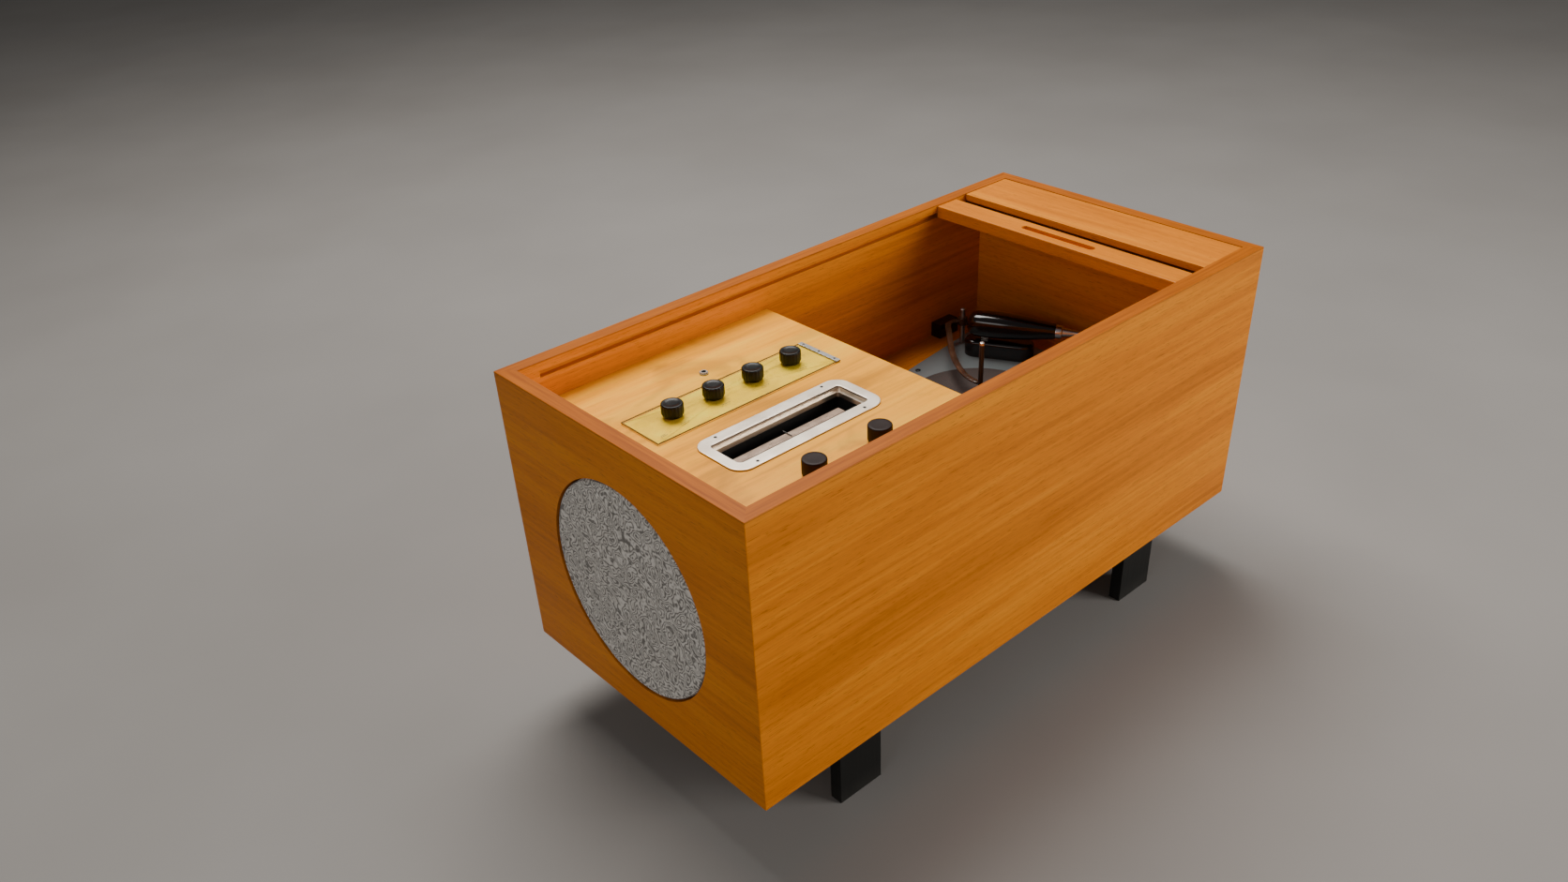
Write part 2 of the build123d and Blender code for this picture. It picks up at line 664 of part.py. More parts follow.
DRUM_RADIUS = 44.6
DRUM_Y = 96.0
DRUM_WIDTH = 6.0
GANG_X = 216.0
GANG_SPAN_Y = (112.0, 190.0)
GANG_SHAFT = 4.0
GANG_PLATE_RADIUS = 22.0
GANG_PLATES = 12
GANG_PITCH = 5.0
gang_axis_z = CHASSIS_TOP + DRUM_RADIUS + 5.0


def across_gang(from_front):
    """A sketch plane across the tuning gang's shaft, facing the back."""
    return Plane(origin=(x_at(GANG_X), y_at(from_front), gang_axis_z), x_dir=(1, 0, 0), z_dir=(0, -1, 0))


with BuildPart() as tuning_gang:
    gang_x = (x_at(GANG_X) - 30, x_at(GANG_X) + 26)
    gang_y = (y_at(GANG_SPAN_Y[0]), y_at(GANG_SPAN_Y[1]))
    add(block(gang_x, gang_y, (CHASSIS_TOP, CHASSIS_TOP + 3)).part)
    for plate_y in (gang_y[0], gang_y[1] - 3):
        add(block(gang_x, (plate_y, plate_y + 3), (CHASSIS_TOP + 3, gang_axis_z + 27)).part)
    add(block((gang_x[0], gang_x[0] + 4), gang_y, (CHASSIS_TOP + 3, gang_axis_z + 27)).part)
    stator_x = (gang_x[0], gang_x[0] + 20)
    stator_z = (gang_axis_z - 20, gang_axis_z + 20)
    for number in range(GANG_PLATES):
        plate_y = y_at(GANG_SPAN_Y[0] + 10.5 + number * GANG_PITCH)
        add(block(stator_x, (plate_y, plate_y + 1), stator_z).part)
    with BuildSketch(across_gang(GANG_SPAN_Y[1])):
        Circle(GANG_SHAFT + HOLE_EASE)
    extrude(amount=80, mode=Mode.SUBTRACT)
finish(tuning_gang, "tuning_gang")

with BuildPart() as gang_rotor:
    with BuildSketch(across_gang(GANG_SPAN_Y[1] + 2)):
        Circle(GANG_SHAFT)
    extrude(amount=GANG_SPAN_Y[1] + 2 - DRUM_Y)
    with BuildSketch(across_gang(DRUM_Y + DRUM_WIDTH)):
        Circle(DRUM_RADIUS)
    extrude(amount=DRUM_WIDTH)
    for number in range(GANG_PLATES):
        with BuildSketch(across_gang(GANG_SPAN_Y[0] + 9.0 + number * GANG_PITCH)):
            Circle(GANG_PLATE_RADIUS)
            with Locations((0, -GANG_PLATE_RADIUS)):
                Rectangle(60, 2 * GANG_PLATE_RADIUS, mode=Mode.SUBTRACT)
        extrude(amount=1.0)
finish(gang_rotor, "gang_rotor")

with BuildPart() as power_transformer:
    windings_z = (CHASSIS_TOP, CHASSIS_TOP + 52)
    core_z = (CHASSIS_TOP, CHASSIS_TOP + 40)
    add(block((x_at(300), x_at(364)), (y_at(320), y_at(374)), windings_z).part)
    add(block((x_at(290), x_at(374)), (y_at(328), y_at(366)), core_z).part)
finish(power_transformer, "power_transformer")

# Each valve: its place from the loudspeaker end and the front, and its radius
VALVES = ((160, 350, 11), (205, 350, 11), (250, 350, 14), (160, 290, 11), (330, 240, 15))
VALVE_HEIGHT = 54.0
with BuildPart() as valves:
    for from_end, from_front, radius in VALVES:
        with BuildSketch(Plane.XY.offset(CHASSIS_TOP)):
            with Locations((x_at(from_end), y_at(from_front))):
                Circle(radius)
        extrude(amount=VALVE_HEIGHT)
    fillet(valves.edges().group_by(Axis.Z)[-1], 9.0)
finish(valves, "valves")

# ---------------------------------------------------------------- motor board and record changer
DECK_TOP = z_at(205.0)
DECK_THICK = DECK_TOP - BOARD_TOP
PLATTER_TOP = z_at(194.0)
PLATTER_UNDER = DECK_TOP + 1.2
PLATTER_RADIUS = 107.5
PLATTER_SKIRT = 4.5
PLATTER_SHEET = 2.0
PLATTER_HUB = 14.0
MAT_THICK = 2.0
SPINDLE_AT = (x_at(600.0), y_at(217.0))
SPINDLE_RADIUS = 3.5
SPINDLE_HEIGHT = 93.0
SPINDLE_FOOT = 6.0
MECHANISM_CUT = (250.0, 210.0)

with BuildPart() as motor_board:
    with BuildSketch(Plane.XY.offset(BOARD_UNDER)):
        with Locations(((x_at(PANEL_END) + x_at(DIVIDER_FACE)) / 2, 0)):
            Rectangle(DIVIDER_FACE - PANEL_END, 2 * INNER_Y)
        with Locations((x_at(620), 0)):
            RectangleRounded(*MECHANISM_CUT, 20, mode=Mode.SUBTRACT)
    extrude(amount=MOTOR_BOARD_THICK)
finish(motor_board, "motor_board")

IDLER_RADIUS = 16.0
IDLER_THICK = 3.6
PULLEY_RADIUS = 5.0
CONTACT_GAP = 0.05
platter_inside = PLATTER_RADIUS - PLATTER_SKIRT
idler_reach = platter_inside - IDLER_RADIUS - CONTACT_GAP
pulley_reach = idler_reach - IDLER_RADIUS - PULLEY_RADIUS - CONTACT_GAP
DRIVE_ANGLE = radians(230)
IDLER_AT = (
    SPINDLE_AT[0] + idler_reach * cos(DRIVE_ANGLE),
    SPINDLE_AT[1] + idler_reach * sin(DRIVE_ANGLE),
)
PULLEY_AT = (
    SPINDLE_AT[0] + pulley_reach * cos(DRIVE_ANGLE),
    SPINDLE_AT[1] + pulley_reach * sin(DRIVE_ANGLE),
)

# The pick-up arm's pivot and its parked direction, from the pivot to the stylus
ARM_PIVOT = (x_at(738.0), y_at(326.0))
ARM_HEADING = radians(-61.1)
ARM_AXIS_Z = z_at(157.5)
RECORD_POST_AT = (x_at(744.0), y_at(376.0))
START_KNOB_AT = (x_at(700.0), y_at(88.0))

with BuildPart() as deck_plate:
    with BuildSketch(Plane.XY.offset(BOARD_TOP)) as deck_outline:
        Polygon(
            (x_at(462), y_at(99)),
            (x_at(806), y_at(54)),
            (x_at(806), y_at(396)),
            (x_at(462), y_at(351)),
            align=None,
        )
        fillet(deck_outline.vertices(), 26)
    extrude(amount=DECK_THICK)
    fillet(deck_plate.edges().group_by(Axis.Z)[-1], 1.6)
    with BuildSketch(Plane.XY.offset(BOARD_TOP)):
        with Locations(SPINDLE_AT):
            Circle(SPINDLE_FOOT + HOLE_EASE)
        with Locations(PULLEY_AT):
            Circle(PULLEY_RADIUS + 2.0)
        with Locations(IDLER_AT):
            Circle(2.0)
        with Locations(START_KNOB_AT):
            Circle(SHAFT_RADIUS + 0.1)
    extrude(amount=DECK_THICK, mode=Mode.SUBTRACT)
finish(deck_plate, "deck_plate")

DECK_SCREWS = ((483, 116), (483, 334), (785, 75), (628, 356))
with BuildPart() as trim_screws:
    add(panel_screws.part)
    with BuildSketch(Plane.XY.offset(DECK_TOP)):
        with Locations(*plan_spots(DECK_SCREWS)):
            Circle(4.0)
    extrude(amount=1.4)
finish(trim_screws, "trim_screws")

with BuildPart() as platter:
    with BuildSketch(Plane.XY.offset(PLATTER_UNDER)):
        with Locations(SPINDLE_AT):
            Circle(PLATTER_RADIUS)
    extrude(amount=PLATTER_TOP - MAT_THICK - PLATTER_UNDER)
    fillet(platter.edges().group_by(Axis.Z)[-1], 1.5)
    with BuildSketch(Plane.XY.offset(PLATTER_UNDER)):
        with Locations(SPINDLE_AT):
            Circle(platter_inside)
            Circle(PLATTER_HUB, mode=Mode.SUBTRACT)
    extrude(amount=PLATTER_TOP - MAT_THICK - PLATTER_SHEET - PLATTER_UNDER, mode=Mode.SUBTRACT)
    with BuildSketch(Plane.XY.offset(DECK_TOP)):
        with Locations(SPINDLE_AT):
            Circle(SPINDLE_RADIUS + HOLE_EASE)
    extrude(amount=20, mode=Mode.SUBTRACT)
finish(platter, "platter")

with BuildPart() as platter_mat:
    with BuildSketch(Plane.XY.offset(PLATTER_TOP - MAT_THICK)):
        with Locations(SPINDLE_AT):
            Circle(PLATTER_RADIUS - 2.0)
            Circle(SPINDLE_RADIUS + 0.5, mode=Mode.SUBTRACT)
    extrude(amount=MAT_THICK)
    fillet(platter_mat.edges().group_by(Axis.Z)[-1].sort_by(SortBy.LENGTH)[-1], 0.8)
finish(platter_mat, "platter_mat")

with BuildPart() as spindle:
    with BuildSketch(Plane.XY.offset(BOARD_UNDER)):
        with Locations(SPINDLE_AT):
            Circle(SPINDLE_FOOT)
    extrude(amount=DECK_TOP - BOARD_UNDER)
    with BuildSketch(Plane.XY.offset(DECK_TOP)):
        with Locations(SPINDLE_AT):
            Circle(SPINDLE_RADIUS)
    extrude(amount=PLATTER_TOP + SPINDLE_HEIGHT - DECK_TOP)
    fillet(spindle.edges().group_by(Axis.Z)[-1], 1.2)
finish(spindle, "spindle")

# ---------------------------------------------------------------- pick-up arm
TURRET_HEIGHT = 25.0
TURRET_SIZE = (104.0, 34.0)
SHELL_BACK = 27.0
SHELL_FRONT = 104.0
SHELL_RADIUS = 19.5
SHELL_NECK = 11.0
FERRULE_RADIUS = 10.2
FERRULE_LENGTH = 10.0
TUBE_LENGTH = 30.0
ARM_LENGTH = 178.0
PIVOT_PIN = 1.5
SWIVEL_RADIUS = 5.0
SWIVEL_SEAT = 12.0
SWIVEL_LIFT = 0.8
along_arm = Plane(origin=(*ARM_PIVOT, ARM_AXIS_Z), x_dir=(cos(ARM_HEADING), sin(ARM_HEADING), 0))
turret_top = DECK_TOP + TURRET_HEIGHT


def arm_turning(profile):
    """A piece turned about the arm's own axis, from (distance ahead of the pivot, radius) points."""
    with BuildPart() as turning:
        with BuildSketch(Plane.XZ):
            Polygon(*profile, align=None)
        revolve(axis=Axis.X)
    return turning


with BuildPart() as tonearm_base:
    turret_plane = Plane(origin=(*ARM_PIVOT, DECK_TOP), x_dir=along_arm.x_dir)
    with BuildSketch(turret_plane):
        with Locations((22, 0)):
            SlotOverall(*TURRET_SIZE)
    extrude(amount=TURRET_HEIGHT)
    fillet(tonearm_base.edges().group_by(Axis.Z)[-1], 5.0)
    with BuildSketch(turret_plane.offset(TURRET_HEIGHT - SWIVEL_SEAT)):
        Circle(SWIVEL_RADIUS + HOLE_EASE)
    extrude(amount=SWIVEL_SEAT, mode=Mode.SUBTRACT)
finish(tonearm_base, "tonearm_base")

with BuildPart() as tonearm_yoke:
    with BuildSketch(turret_plane.offset(TURRET_HEIGHT - SWIVEL_SEAT + 0.5)):
        Circle(SWIVEL_RADIUS)
    extrude(amount=SWIVEL_SEAT - 0.5 + SWIVEL_LIFT)
    with BuildSketch(turret_plane.offset(TURRET_HEIGHT + SWIVEL_LIFT)):
        Rectangle(10, 8)
    extrude(amount=ARM_AXIS_Z + 4 - turret_top - SWIVEL_LIFT)
    with BuildSketch(Plane(origin=along_arm.origin, x_dir=along_arm.x_dir, z_dir=along_arm.y_dir)):
        Circle(PIVOT_PIN)
    extrude(amount=10, both=True)
finish(tonearm_yoke, "tonearm_yoke")

shell_profile = (
    (-SHELL_BACK, 0),
    (-SHELL_BACK + 1.5, 9),
    (-SHELL_BACK + 6, 14),
    (-SHELL_BACK + 14, SHELL_RADIUS - 0.6),
    (-4, SHELL_RADIUS),
    (30, SHELL_RADIUS - 0.8),
    (68, SHELL_RADIUS - 3.4),
    (SHELL_FRONT, SHELL_NECK),
    (SHELL_FRONT, 0),
)
with BuildPart() as tonearm_shell:
    add(arm_turning(shell_profile).part.moved(along_arm.location))
    with BuildSketch(along_arm.offset(-SHELL_RADIUS - 1)):
        Rectangle(22, 12)
    extrude(amount=SHELL_RADIUS + 8, mode=Mode.SUBTRACT)
    with BuildSketch(Plane(origin=along_arm.origin, x_dir=along_arm.x_dir, z_dir=along_arm.y_dir)):
        Circle(PIVOT_PIN + HOLE_EASE)
    extrude(amount=10.5, both=True, mode=Mode.SUBTRACT)
finish(tonearm_shell, "tonearm_shell")

tube_profile = (
    (SHELL_FRONT, 0),
    (SHELL_FRONT, FERRULE_RADIUS),
    (SHELL_FRONT + FERRULE_LENGTH, FERRULE_RADIUS - 1),
    (SHELL_FRONT + FERRULE_LENGTH, 6.6),
    (SHELL_FRONT + TUBE_LENGTH, 4.2),
    (SHELL_FRONT + TUBE_LENGTH + 6, 4.2),
    (SHELL_FRONT + TUBE_LENGTH + 6, 0),
)
with BuildPart() as tonearm_tube:
    add(arm_turning(tube_profile).part.moved(along_arm.location))
finish(tonearm_tube, "tonearm_tube")

HEAD_SIZE = (36.0, 15.0, 11.0)
STYLUS_LIFT = 1.2
head_start = SHELL_FRONT + TUBE_LENGTH + 6
stylus_drop = ARM_AXIS_Z - PLATTER_TOP - STYLUS_LIFT
with BuildPart() as tonearm_head:
    with BuildSketch(along_arm.offset(-HEAD_SIZE[2] / 2)):
        with Locations((head_start + HEAD_SIZE[0] / 2, 0)):
            RectangleRounded(HEAD_SIZE[0], HEAD_SIZE[1], 5)
    extrude(amount=HEAD_SIZE[2])
    with BuildSketch(along_arm.offset(-stylus_drop + 6)):
        with Locations((ARM_LENGTH - 10, 0)):
            Rectangle(18, 11)
    extrude(amount=stylus_drop - 6 - HEAD_SIZE[2] / 2)
    with BuildSketch(along_arm.offset(-stylus_drop)):
        with Locations((ARM_LENGTH - 4, 0)):
            Circle(0.8)
    extrude(amount=6)
finish(tonearm_head, "tonearm_head")

# ---------------------------------------------------------------- record steadying arm
RECORD_ARM_TOP = z_at(168.0)
RECORD_ARM_THICK = 3.5
RECORD_ARM_WIDTH = 9.0
RECORD_ARM_HUB = (7.5, 12.0)
POST_RADIUS = 4.0
POST_TOP = z_at(150.0)
RECORD_ARM_WAY = ((722, 384), (697, 361), (655, 318), (629, 284), (613, 254), (608, 228))

with BuildPart() as record_arm_post:
    with BuildSketch(Plane.XY.offset(DECK_TOP)):
        with Locations(RECORD_POST_AT):
            Circle(POST_RADIUS)
    extrude(amount=POST_TOP - DECK_TOP)
    fillet(record_arm_post.edges().group_by(Axis.Z)[-1], 1.5)
finish(record_arm_post, "record_arm_post")

with BuildPart() as record_arm:
    with BuildSketch(Plane.XY.offset(RECORD_ARM_TOP - RECORD_ARM_THICK)):
        with BuildLine():
            Spline(RECORD_POST_AT, *plan_spots(RECORD_ARM_WAY))
        trace(line_width=RECORD_ARM_WIDTH)
    extrude(amount=RECORD_ARM_THICK)
    with BuildSketch(Plane.XY.offset(RECORD_ARM_TOP - 8)):
        with Locations(RECORD_POST_AT):
            Circle(RECORD_ARM_HUB[0])
    extrude(amount=RECORD_ARM_HUB[1])
    with BuildSketch(Plane.XY.offset(RECORD_ARM_TOP - 8)):
        with Locations(RECORD_POST_AT):
            Circle(POST_RADIUS + HOLE_EASE)
    extrude(amount=RECORD_ARM_HUB[1], mode=Mode.SUBTRACT)
finish(record_arm, "record_arm")

# ---------------------------------------------------------------- platter drive, start knob, terminals
MOTOR_RADIUS = 34.0
MOTOR_HEIGHT = 46.0
MOTOR_SHAFT = 2.0
PULLEY_TOP = DECK_TOP + 6.2
IDLER_TOP = DECK_TOP + 6.0
pulley_foot = BOARD_UNDER - MOTOR_HEIGHT + 9

with BuildPart() as drive_motor:
    with BuildSketch(Plane.XY.offset(BOARD_UNDER - MOTOR_HEIGHT)):
        with Locations(PULLEY_AT):
            Circle(MOTOR_RADIUS)
    extrude(amount=MOTOR_HEIGHT)
    fillet(drive_motor.edges(), 3.0)
    with BuildSketch(Plane.XY.offset(BOARD_UNDER)):
        with Locations(PULLEY_AT):
            with PolarLocations(26, 3):
                Circle(4)
    extrude(amount=MOTOR_BOARD_THICK)
    with BuildSketch(Plane.XY.offset(BOARD_UNDER - MOTOR_HEIGHT + 8)):
        with Locations(PULLEY_AT):
            Circle(MOTOR_SHAFT + HOLE_EASE)
    extrude(amount=MOTOR_HEIGHT, mode=Mode.SUBTRACT)
finish(drive_motor, "drive_motor")

with BuildPart() as motor_pulley:
    with BuildSketch(Plane.XY.offset(pulley_foot)):
        with Locations(PULLEY_AT):
            Circle(MOTOR_SHAFT)
    extrude(amount=PULLEY_TOP - pulley_foot)
    with BuildSketch(Plane.XY.offset(BOARD_TOP)):
        with Locations(PULLEY_AT):
            Circle(PULLEY_RADIUS)
    extrude(amount=PULLEY_TOP - BOARD_TOP)
finish(motor_pulley, "motor_pulley")

with BuildPart() as idler_wheel:
    with BuildSketch(Plane.XY.offset(BOARD_TOP + 0.5)):
        with Locations(IDLER_AT):
            Circle(1.9)
    extrude(amount=IDLER_TOP - BOARD_TOP - 0.5)
    with BuildSketch(Plane.XY.offset(DECK_TOP + 1.8)):
        with Locations(IDLER_AT):
            Circle(IDLER_RADIUS)
    extrude(amount=IDLER_THICK)
finish(idler_wheel, "idler_wheel")

with BuildPart() as start_knob:
    with BuildSketch(Plane.XY.offset(DECK_TOP + 1)):
        with Locations(START_KNOB_AT):
            Circle(12)
    extrude(amount=4)
    with BuildSketch(Plane.XY.offset(DECK_TOP + 5)):
        with Locations(START_KNOB_AT):
            SlotOverall(24, 8)
    extrude(amount=9)
    fillet(start_knob.edges().group_by(Axis.Z)[-1], 1.5)
    with BuildSketch(Plane.XY.offset(BOARD_TOP + 0.5)):
        with Locations(START_KNOB_AT):
            Circle(SHAFT_RADIUS)
    extrude(amount=DECK_TOP + 1 - BOARD_TOP - 0.5)
finish(start_knob, "start_knob")

terminal_block = block(
    (x_at(733), x_at(774)),
    (y_at(411), y_at(430)),
    (BOARD_TOP, BOARD_TOP + 23),
    rounding=1.0,
)
finish(terminal_block, "terminal_block")
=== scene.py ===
import json
from math import atan2, cos, pi, radians, sin, sqrt

import bpy
from mathutils import Matrix, Vector, noise


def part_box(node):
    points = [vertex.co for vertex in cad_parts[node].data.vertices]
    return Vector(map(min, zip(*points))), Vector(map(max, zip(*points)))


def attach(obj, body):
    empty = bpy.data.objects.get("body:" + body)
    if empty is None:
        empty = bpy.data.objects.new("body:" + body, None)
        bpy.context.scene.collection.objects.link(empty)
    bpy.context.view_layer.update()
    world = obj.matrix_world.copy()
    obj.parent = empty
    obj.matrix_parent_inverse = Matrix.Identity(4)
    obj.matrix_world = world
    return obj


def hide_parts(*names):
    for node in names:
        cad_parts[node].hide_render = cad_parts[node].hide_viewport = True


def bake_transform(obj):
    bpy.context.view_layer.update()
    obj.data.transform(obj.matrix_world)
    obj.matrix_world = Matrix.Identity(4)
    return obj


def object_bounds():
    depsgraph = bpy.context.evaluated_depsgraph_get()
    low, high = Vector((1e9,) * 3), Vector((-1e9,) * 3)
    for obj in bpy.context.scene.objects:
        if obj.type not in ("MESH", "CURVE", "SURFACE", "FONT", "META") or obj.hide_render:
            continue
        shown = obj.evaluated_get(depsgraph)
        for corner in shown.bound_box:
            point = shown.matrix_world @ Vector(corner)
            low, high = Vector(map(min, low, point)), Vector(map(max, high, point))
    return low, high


# Looks for the radio phonograph console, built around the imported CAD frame. Metres throughout.
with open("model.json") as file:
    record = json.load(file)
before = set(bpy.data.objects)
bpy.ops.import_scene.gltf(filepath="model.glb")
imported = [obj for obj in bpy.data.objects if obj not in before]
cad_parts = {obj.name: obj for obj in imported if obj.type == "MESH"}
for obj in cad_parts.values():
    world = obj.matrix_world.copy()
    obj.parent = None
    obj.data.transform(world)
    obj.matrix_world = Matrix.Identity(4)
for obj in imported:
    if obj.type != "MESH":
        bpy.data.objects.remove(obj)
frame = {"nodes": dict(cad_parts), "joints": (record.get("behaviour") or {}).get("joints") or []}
cad_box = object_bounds()
MM = 0.001
X, Y, Z = 0, 1, 2
RIM = cad_box[1][2]


# ---------------- node materials
class Graph:
    """One material's node tree, with short ways to add nodes and wire them."""

    def __init__(self, name):
        self.material = bpy.data.materials.new(name)
        self.material.use_nodes = True
        self.tree = self.material.node_tree
        self.shader = self.tree.nodes["Principled BSDF"]
        self.place = self.node("ShaderNodeTexCoord").outputs["Object"]

    def node(self, kind, **settings):
        """A new node with its settings."""
        made = self.tree.nodes.new(kind)
        for key, value in settings.items():
            setattr(made, key, value)
        return made

    def feed(self, socket, value):
        """Wires an output into the socket, or sets the socket to a plain value."""
        if isinstance(value, bpy.types.NodeSocket):
            self.tree.links.new(value, socket)
        elif isinstance(value, (tuple, list)) and len(value) == 3 and len(socket.default_value) == 4:
            socket.default_value = (*value, 1.0)
        else:
            socket.default_value = value

    def fill(self, made, **sockets):
        """Feeds a node's sockets, named with underscores for spaces, and gives the node back."""
        for name, value in sockets.items():
            self.feed(made.inputs[name.replace("_", " ")], value)
        return made

    def noise(self, scale, detail=3.0, roughness=0.5, distortion=0.0, turn=(0, 0, 0), shift=(0, 0, 0)):
        """Noise with its scale per metre, either one number or one for each axis."""
        scales = scale if isinstance(scale, tuple) else (scale,) * 3
        mapping = self.node("ShaderNodeMapping")
        self.fill(mapping, Vector=self.place, Scale=scales, Rotation=turn, Location=shift)
        made = self.node("ShaderNodeTexNoise")
        self.fill(made, Vector=mapping.outputs[0], Scale=1.0, Detail=detail, Roughness=roughness)
        return self.fill(made, Distortion=distortion).outputs["Fac"]

    def ramp(self, value, stops):
        """Colours for a 0 to 1 value, from stops of (position, colour)."""
        made = self.node("ShaderNodeValToRGB")
        self.fill(made, Fac=value)
        elements = made.color_ramp.elements
        while len(elements) < len(stops):
            elements.new(0.5)
        for element, (position, colour) in zip(elements, stops):
            element.position = position
            element.color = (*colour, 1.0)
        return made.outputs["Color"]

    def step(self, value, low, high):
        """0 below low, 1 above high, and smooth between."""
        made = self.node("ShaderNodeMapRange", interpolation_type="SMOOTHSTEP")
        return self.fill(made, Value=value, From_Min=low, From_Max=high).outputs["Result"]

    def between(self, value, low, high):
        """Spreads a 0 to 1 value over low to high."""
        made = self.node("ShaderNodeMapRange")
        return self.fill(made, Value=value, To_Min=low, To_Max=high).outputs["Result"]

    def maths(self, operation, a, b=0.0):
        """A sum on two outputs or numbers, or on the first one alone."""
        made = self.node("ShaderNodeMath", operation=operation)
        self.feed(made.inputs[0], a)
        self.feed(made.inputs[1], b)
        return made.outputs[0]

    def times(self, a, b):
        return self.maths("MULTIPLY", a, b)

    def plus(self, a, b):
        return self.maths("ADD", a, b)

    def minus(self, a, b):
        return self.maths("SUBTRACT", a, b)

    def mix(self, factor, a, b, blend="MIX"):
        """Colour a at factor 0 and colour b at factor 1."""
        made = self.node("ShaderNodeMix", data_type="RGBA", blend_type=blend)
        self.feed(made.inputs[0], factor)
        self.feed(made.inputs[6], a)
        self.feed(made.inputs[7], b)
        return made.outputs[2]

    def mark(self, tone, mask, strength, colour):
        """Lays a colour over the tone where the mask is high."""
        return self.mix(self.times(mask, strength), tone, colour)

    def axes(self):
        """The object's own x, y and z, in metres."""
        return self.fill(self.node("ShaderNodeSeparateXYZ"), Vector=self.place).outputs

    def bump(self, height, strength, distance, under=None):
        """A relief, laid over another one if it is given."""
        made = self.fill(self.node("ShaderNodeBump"), Height=height, Strength=strength, Distance=distance)
        if under is not None:
            self.fill(made, Normal=under)
        return made.outputs[0]

    def finish(self, **sockets):
        """Feeds the shader and gives the material back."""
        self.fill(self.shader, **sockets)
        return self.material


def veneer(name, axis, tones, rim_tones, seed, gloss=0.42, contrast=1.0):
    """Oiled veneer with its grain along an axis: bands, streaks, fibres, pores, a lipped rim and a painted
    shade line under the rim's arris.
    """
    g = Graph(name)
    dark, middle, light = tones
    slant = (0, radians(1.5), 0) if axis == X else (radians(1.5), 0, 0)
    shift = (seed, seed * 1.7, seed * 0.6)

    def grain(along, across, *settings):
        """Noise that changes slowly along the grain and quickly across it."""
        scale = tuple(along if i == axis else across for i in range(3))
        return g.noise(scale, *settings, turn=slant, shift=shift)

    waver = grain(2.2, 9.0, 2.0)
    bands = grain(1.1, 17.0, 3.0, 0.55, 0.6)
    streaks = grain(4.0, 150.0, 4.0, 0.6, 0.4)
    fibres = grain(30.0, 900.0, 3.0, 0.6)
    figure = g.plus(g.plus(g.times(bands, 0.42), g.times(streaks, 0.43)), g.times(waver, 0.15))
    spread = 0.16 / contrast
    colour = g.ramp(figure, [(0.5 - spread, dark), (0.5, middle), (0.5 + spread, light)])
    fibre_tone = g.ramp(g.between(fibres, 0.84, 1.14), [(0.0, (0.0, 0.0, 0.0)), (1.0, (1.0, 1.0, 1.0))])
    colour = g.mix(1.0, colour, fibre_tone, "MULTIPLY")
    mottle = grain(14.0, 30.0, 2.0)
    colour = g.mix(g.between(mottle, 0.0, 0.3), colour, light)
    pore = g.times(g.step(grain(60.0, 1500.0, 2.0), 0.6, 0.7), 0.5)
    colour = g.mix(pore, colour, tuple(0.3 * c for c in dark))
    if rim_tones:
        z = g.axes()[Z]
        lip = g.ramp(grain(9.0, 260.0, 4.0, 0.6), [(0.3, rim_tones[0]), (0.7, rim_tones[1])])
        on_rim = g.step(z, RIM - 0.7 * MM, RIM - 0.3 * MM)
        colour = g.mix(on_rim, colour, lip)
        # Painted shade: a darker band 1.2 to 2.6 mm under the rim, broken up by noise, stands in for the
        # shade under the rim's arris.
        arris_shade_band = g.times(g.step(z, RIM - 2.6 * MM, RIM - 1.2 * MM), g.minus(1.0, on_rim))
        shade_breakup = g.between(g.noise(60.0), 0.25, 0.75)
        colour = g.mark(colour, arris_shade_band, shade_breakup, tuple(0.45 * c for c in dark))
    rough = g.between(g.noise(5.0, shift=shift), gloss - 0.06, gloss + 0.12)
    relief = g.bump(g.minus(fibres, pore), 0.28, 0.25 * MM)
    return g.finish(Base_Color=colour, Roughness=rough, Normal=relief, Specular_IOR_Level=0.13)


OUTSIDE = ((0.38, 0.098, 0.004), (0.58, 0.165, 0.006), (0.74, 0.258, 0.012))
INSIDE = ((0.38, 0.095, 0.003), (0.58, 0.165, 0.004), (0.72, 0.255, 0.01))
LIPPING = ((0.26, 0.06, 0.001), (0.44, 0.115, 0.002))


def maple_panel():
    """The control panel's pale veneer: soft streaks, thumbed smudges and a lacquer gloss."""
    g = Graph("control_panel_maple")
    bands = g.noise((2.0, 26.0, 26.0), 3.0, 0.55, 0.8, turn=(0, 0, radians(2)))
    streaks = g.noise((8.0, 190.0, 190.0), 4.0, 0.6)
    figure = g.plus(g.times(bands, 0.74), g.times(streaks, 0.26))
    colour = g.ramp(figure, [
        (0.34, (0.66, 0.255, 0.006)), (0.5, (0.96, 0.4, 0.012)), (0.66, (1.0, 0.51, 0.03)),
    ])
    smudge = g.noise((7.0, 14.0, 9.0), 3.0, 0.5, 1.2, turn=(0, 0, radians(12)))
    colour = g.mark(colour, g.step(smudge, 0.5, 0.72), 0.55, (0.46, 0.19, 0.014))
    pores = g.noise((90.0, 1100.0, 1100.0), 2.0)
    colour = g.mark(colour, g.step(pores, 0.62, 0.72), 0.25, (0.3, 0.14, 0.03))
    rough = g.between(g.noise((12.0, 20.0, 12.0)), 0.22, 0.42)
    return g.finish(
        Base_Color=colour, Roughness=rough, Normal=g.bump(streaks, 0.06, 0.2 * MM),
        Coat_Weight=0.06, Coat_Roughness=0.12, Specular_IOR_Level=0.22,
    )


def tambour_wood():
    """The curtain's slats: darker oiled wood with the grain along each slat."""
    g = Graph("tambour_slats")
    streaks = g.noise((160.0, 5.0, 160.0), 4.0, 0.6)
    fibres = g.noise((900.0, 26.0, 900.0))
    colour = g.ramp(streaks, [
        (0.32, (0.16, 0.05, 0.01)), (0.52, (0.3, 0.105, 0.018)), (0.7, (0.42, 0.165, 0.032)),
    ])
    colour = g.mix(g.between(fibres, 0.0, 0.3), colour, (0.14, 0.045, 0.01))
    return g.finish(
        Base_Color=colour, Roughness=g.between(fibres, 0.38, 0.6), Normal=g.bump(fibres, 0.2, 0.2 * MM),
    )


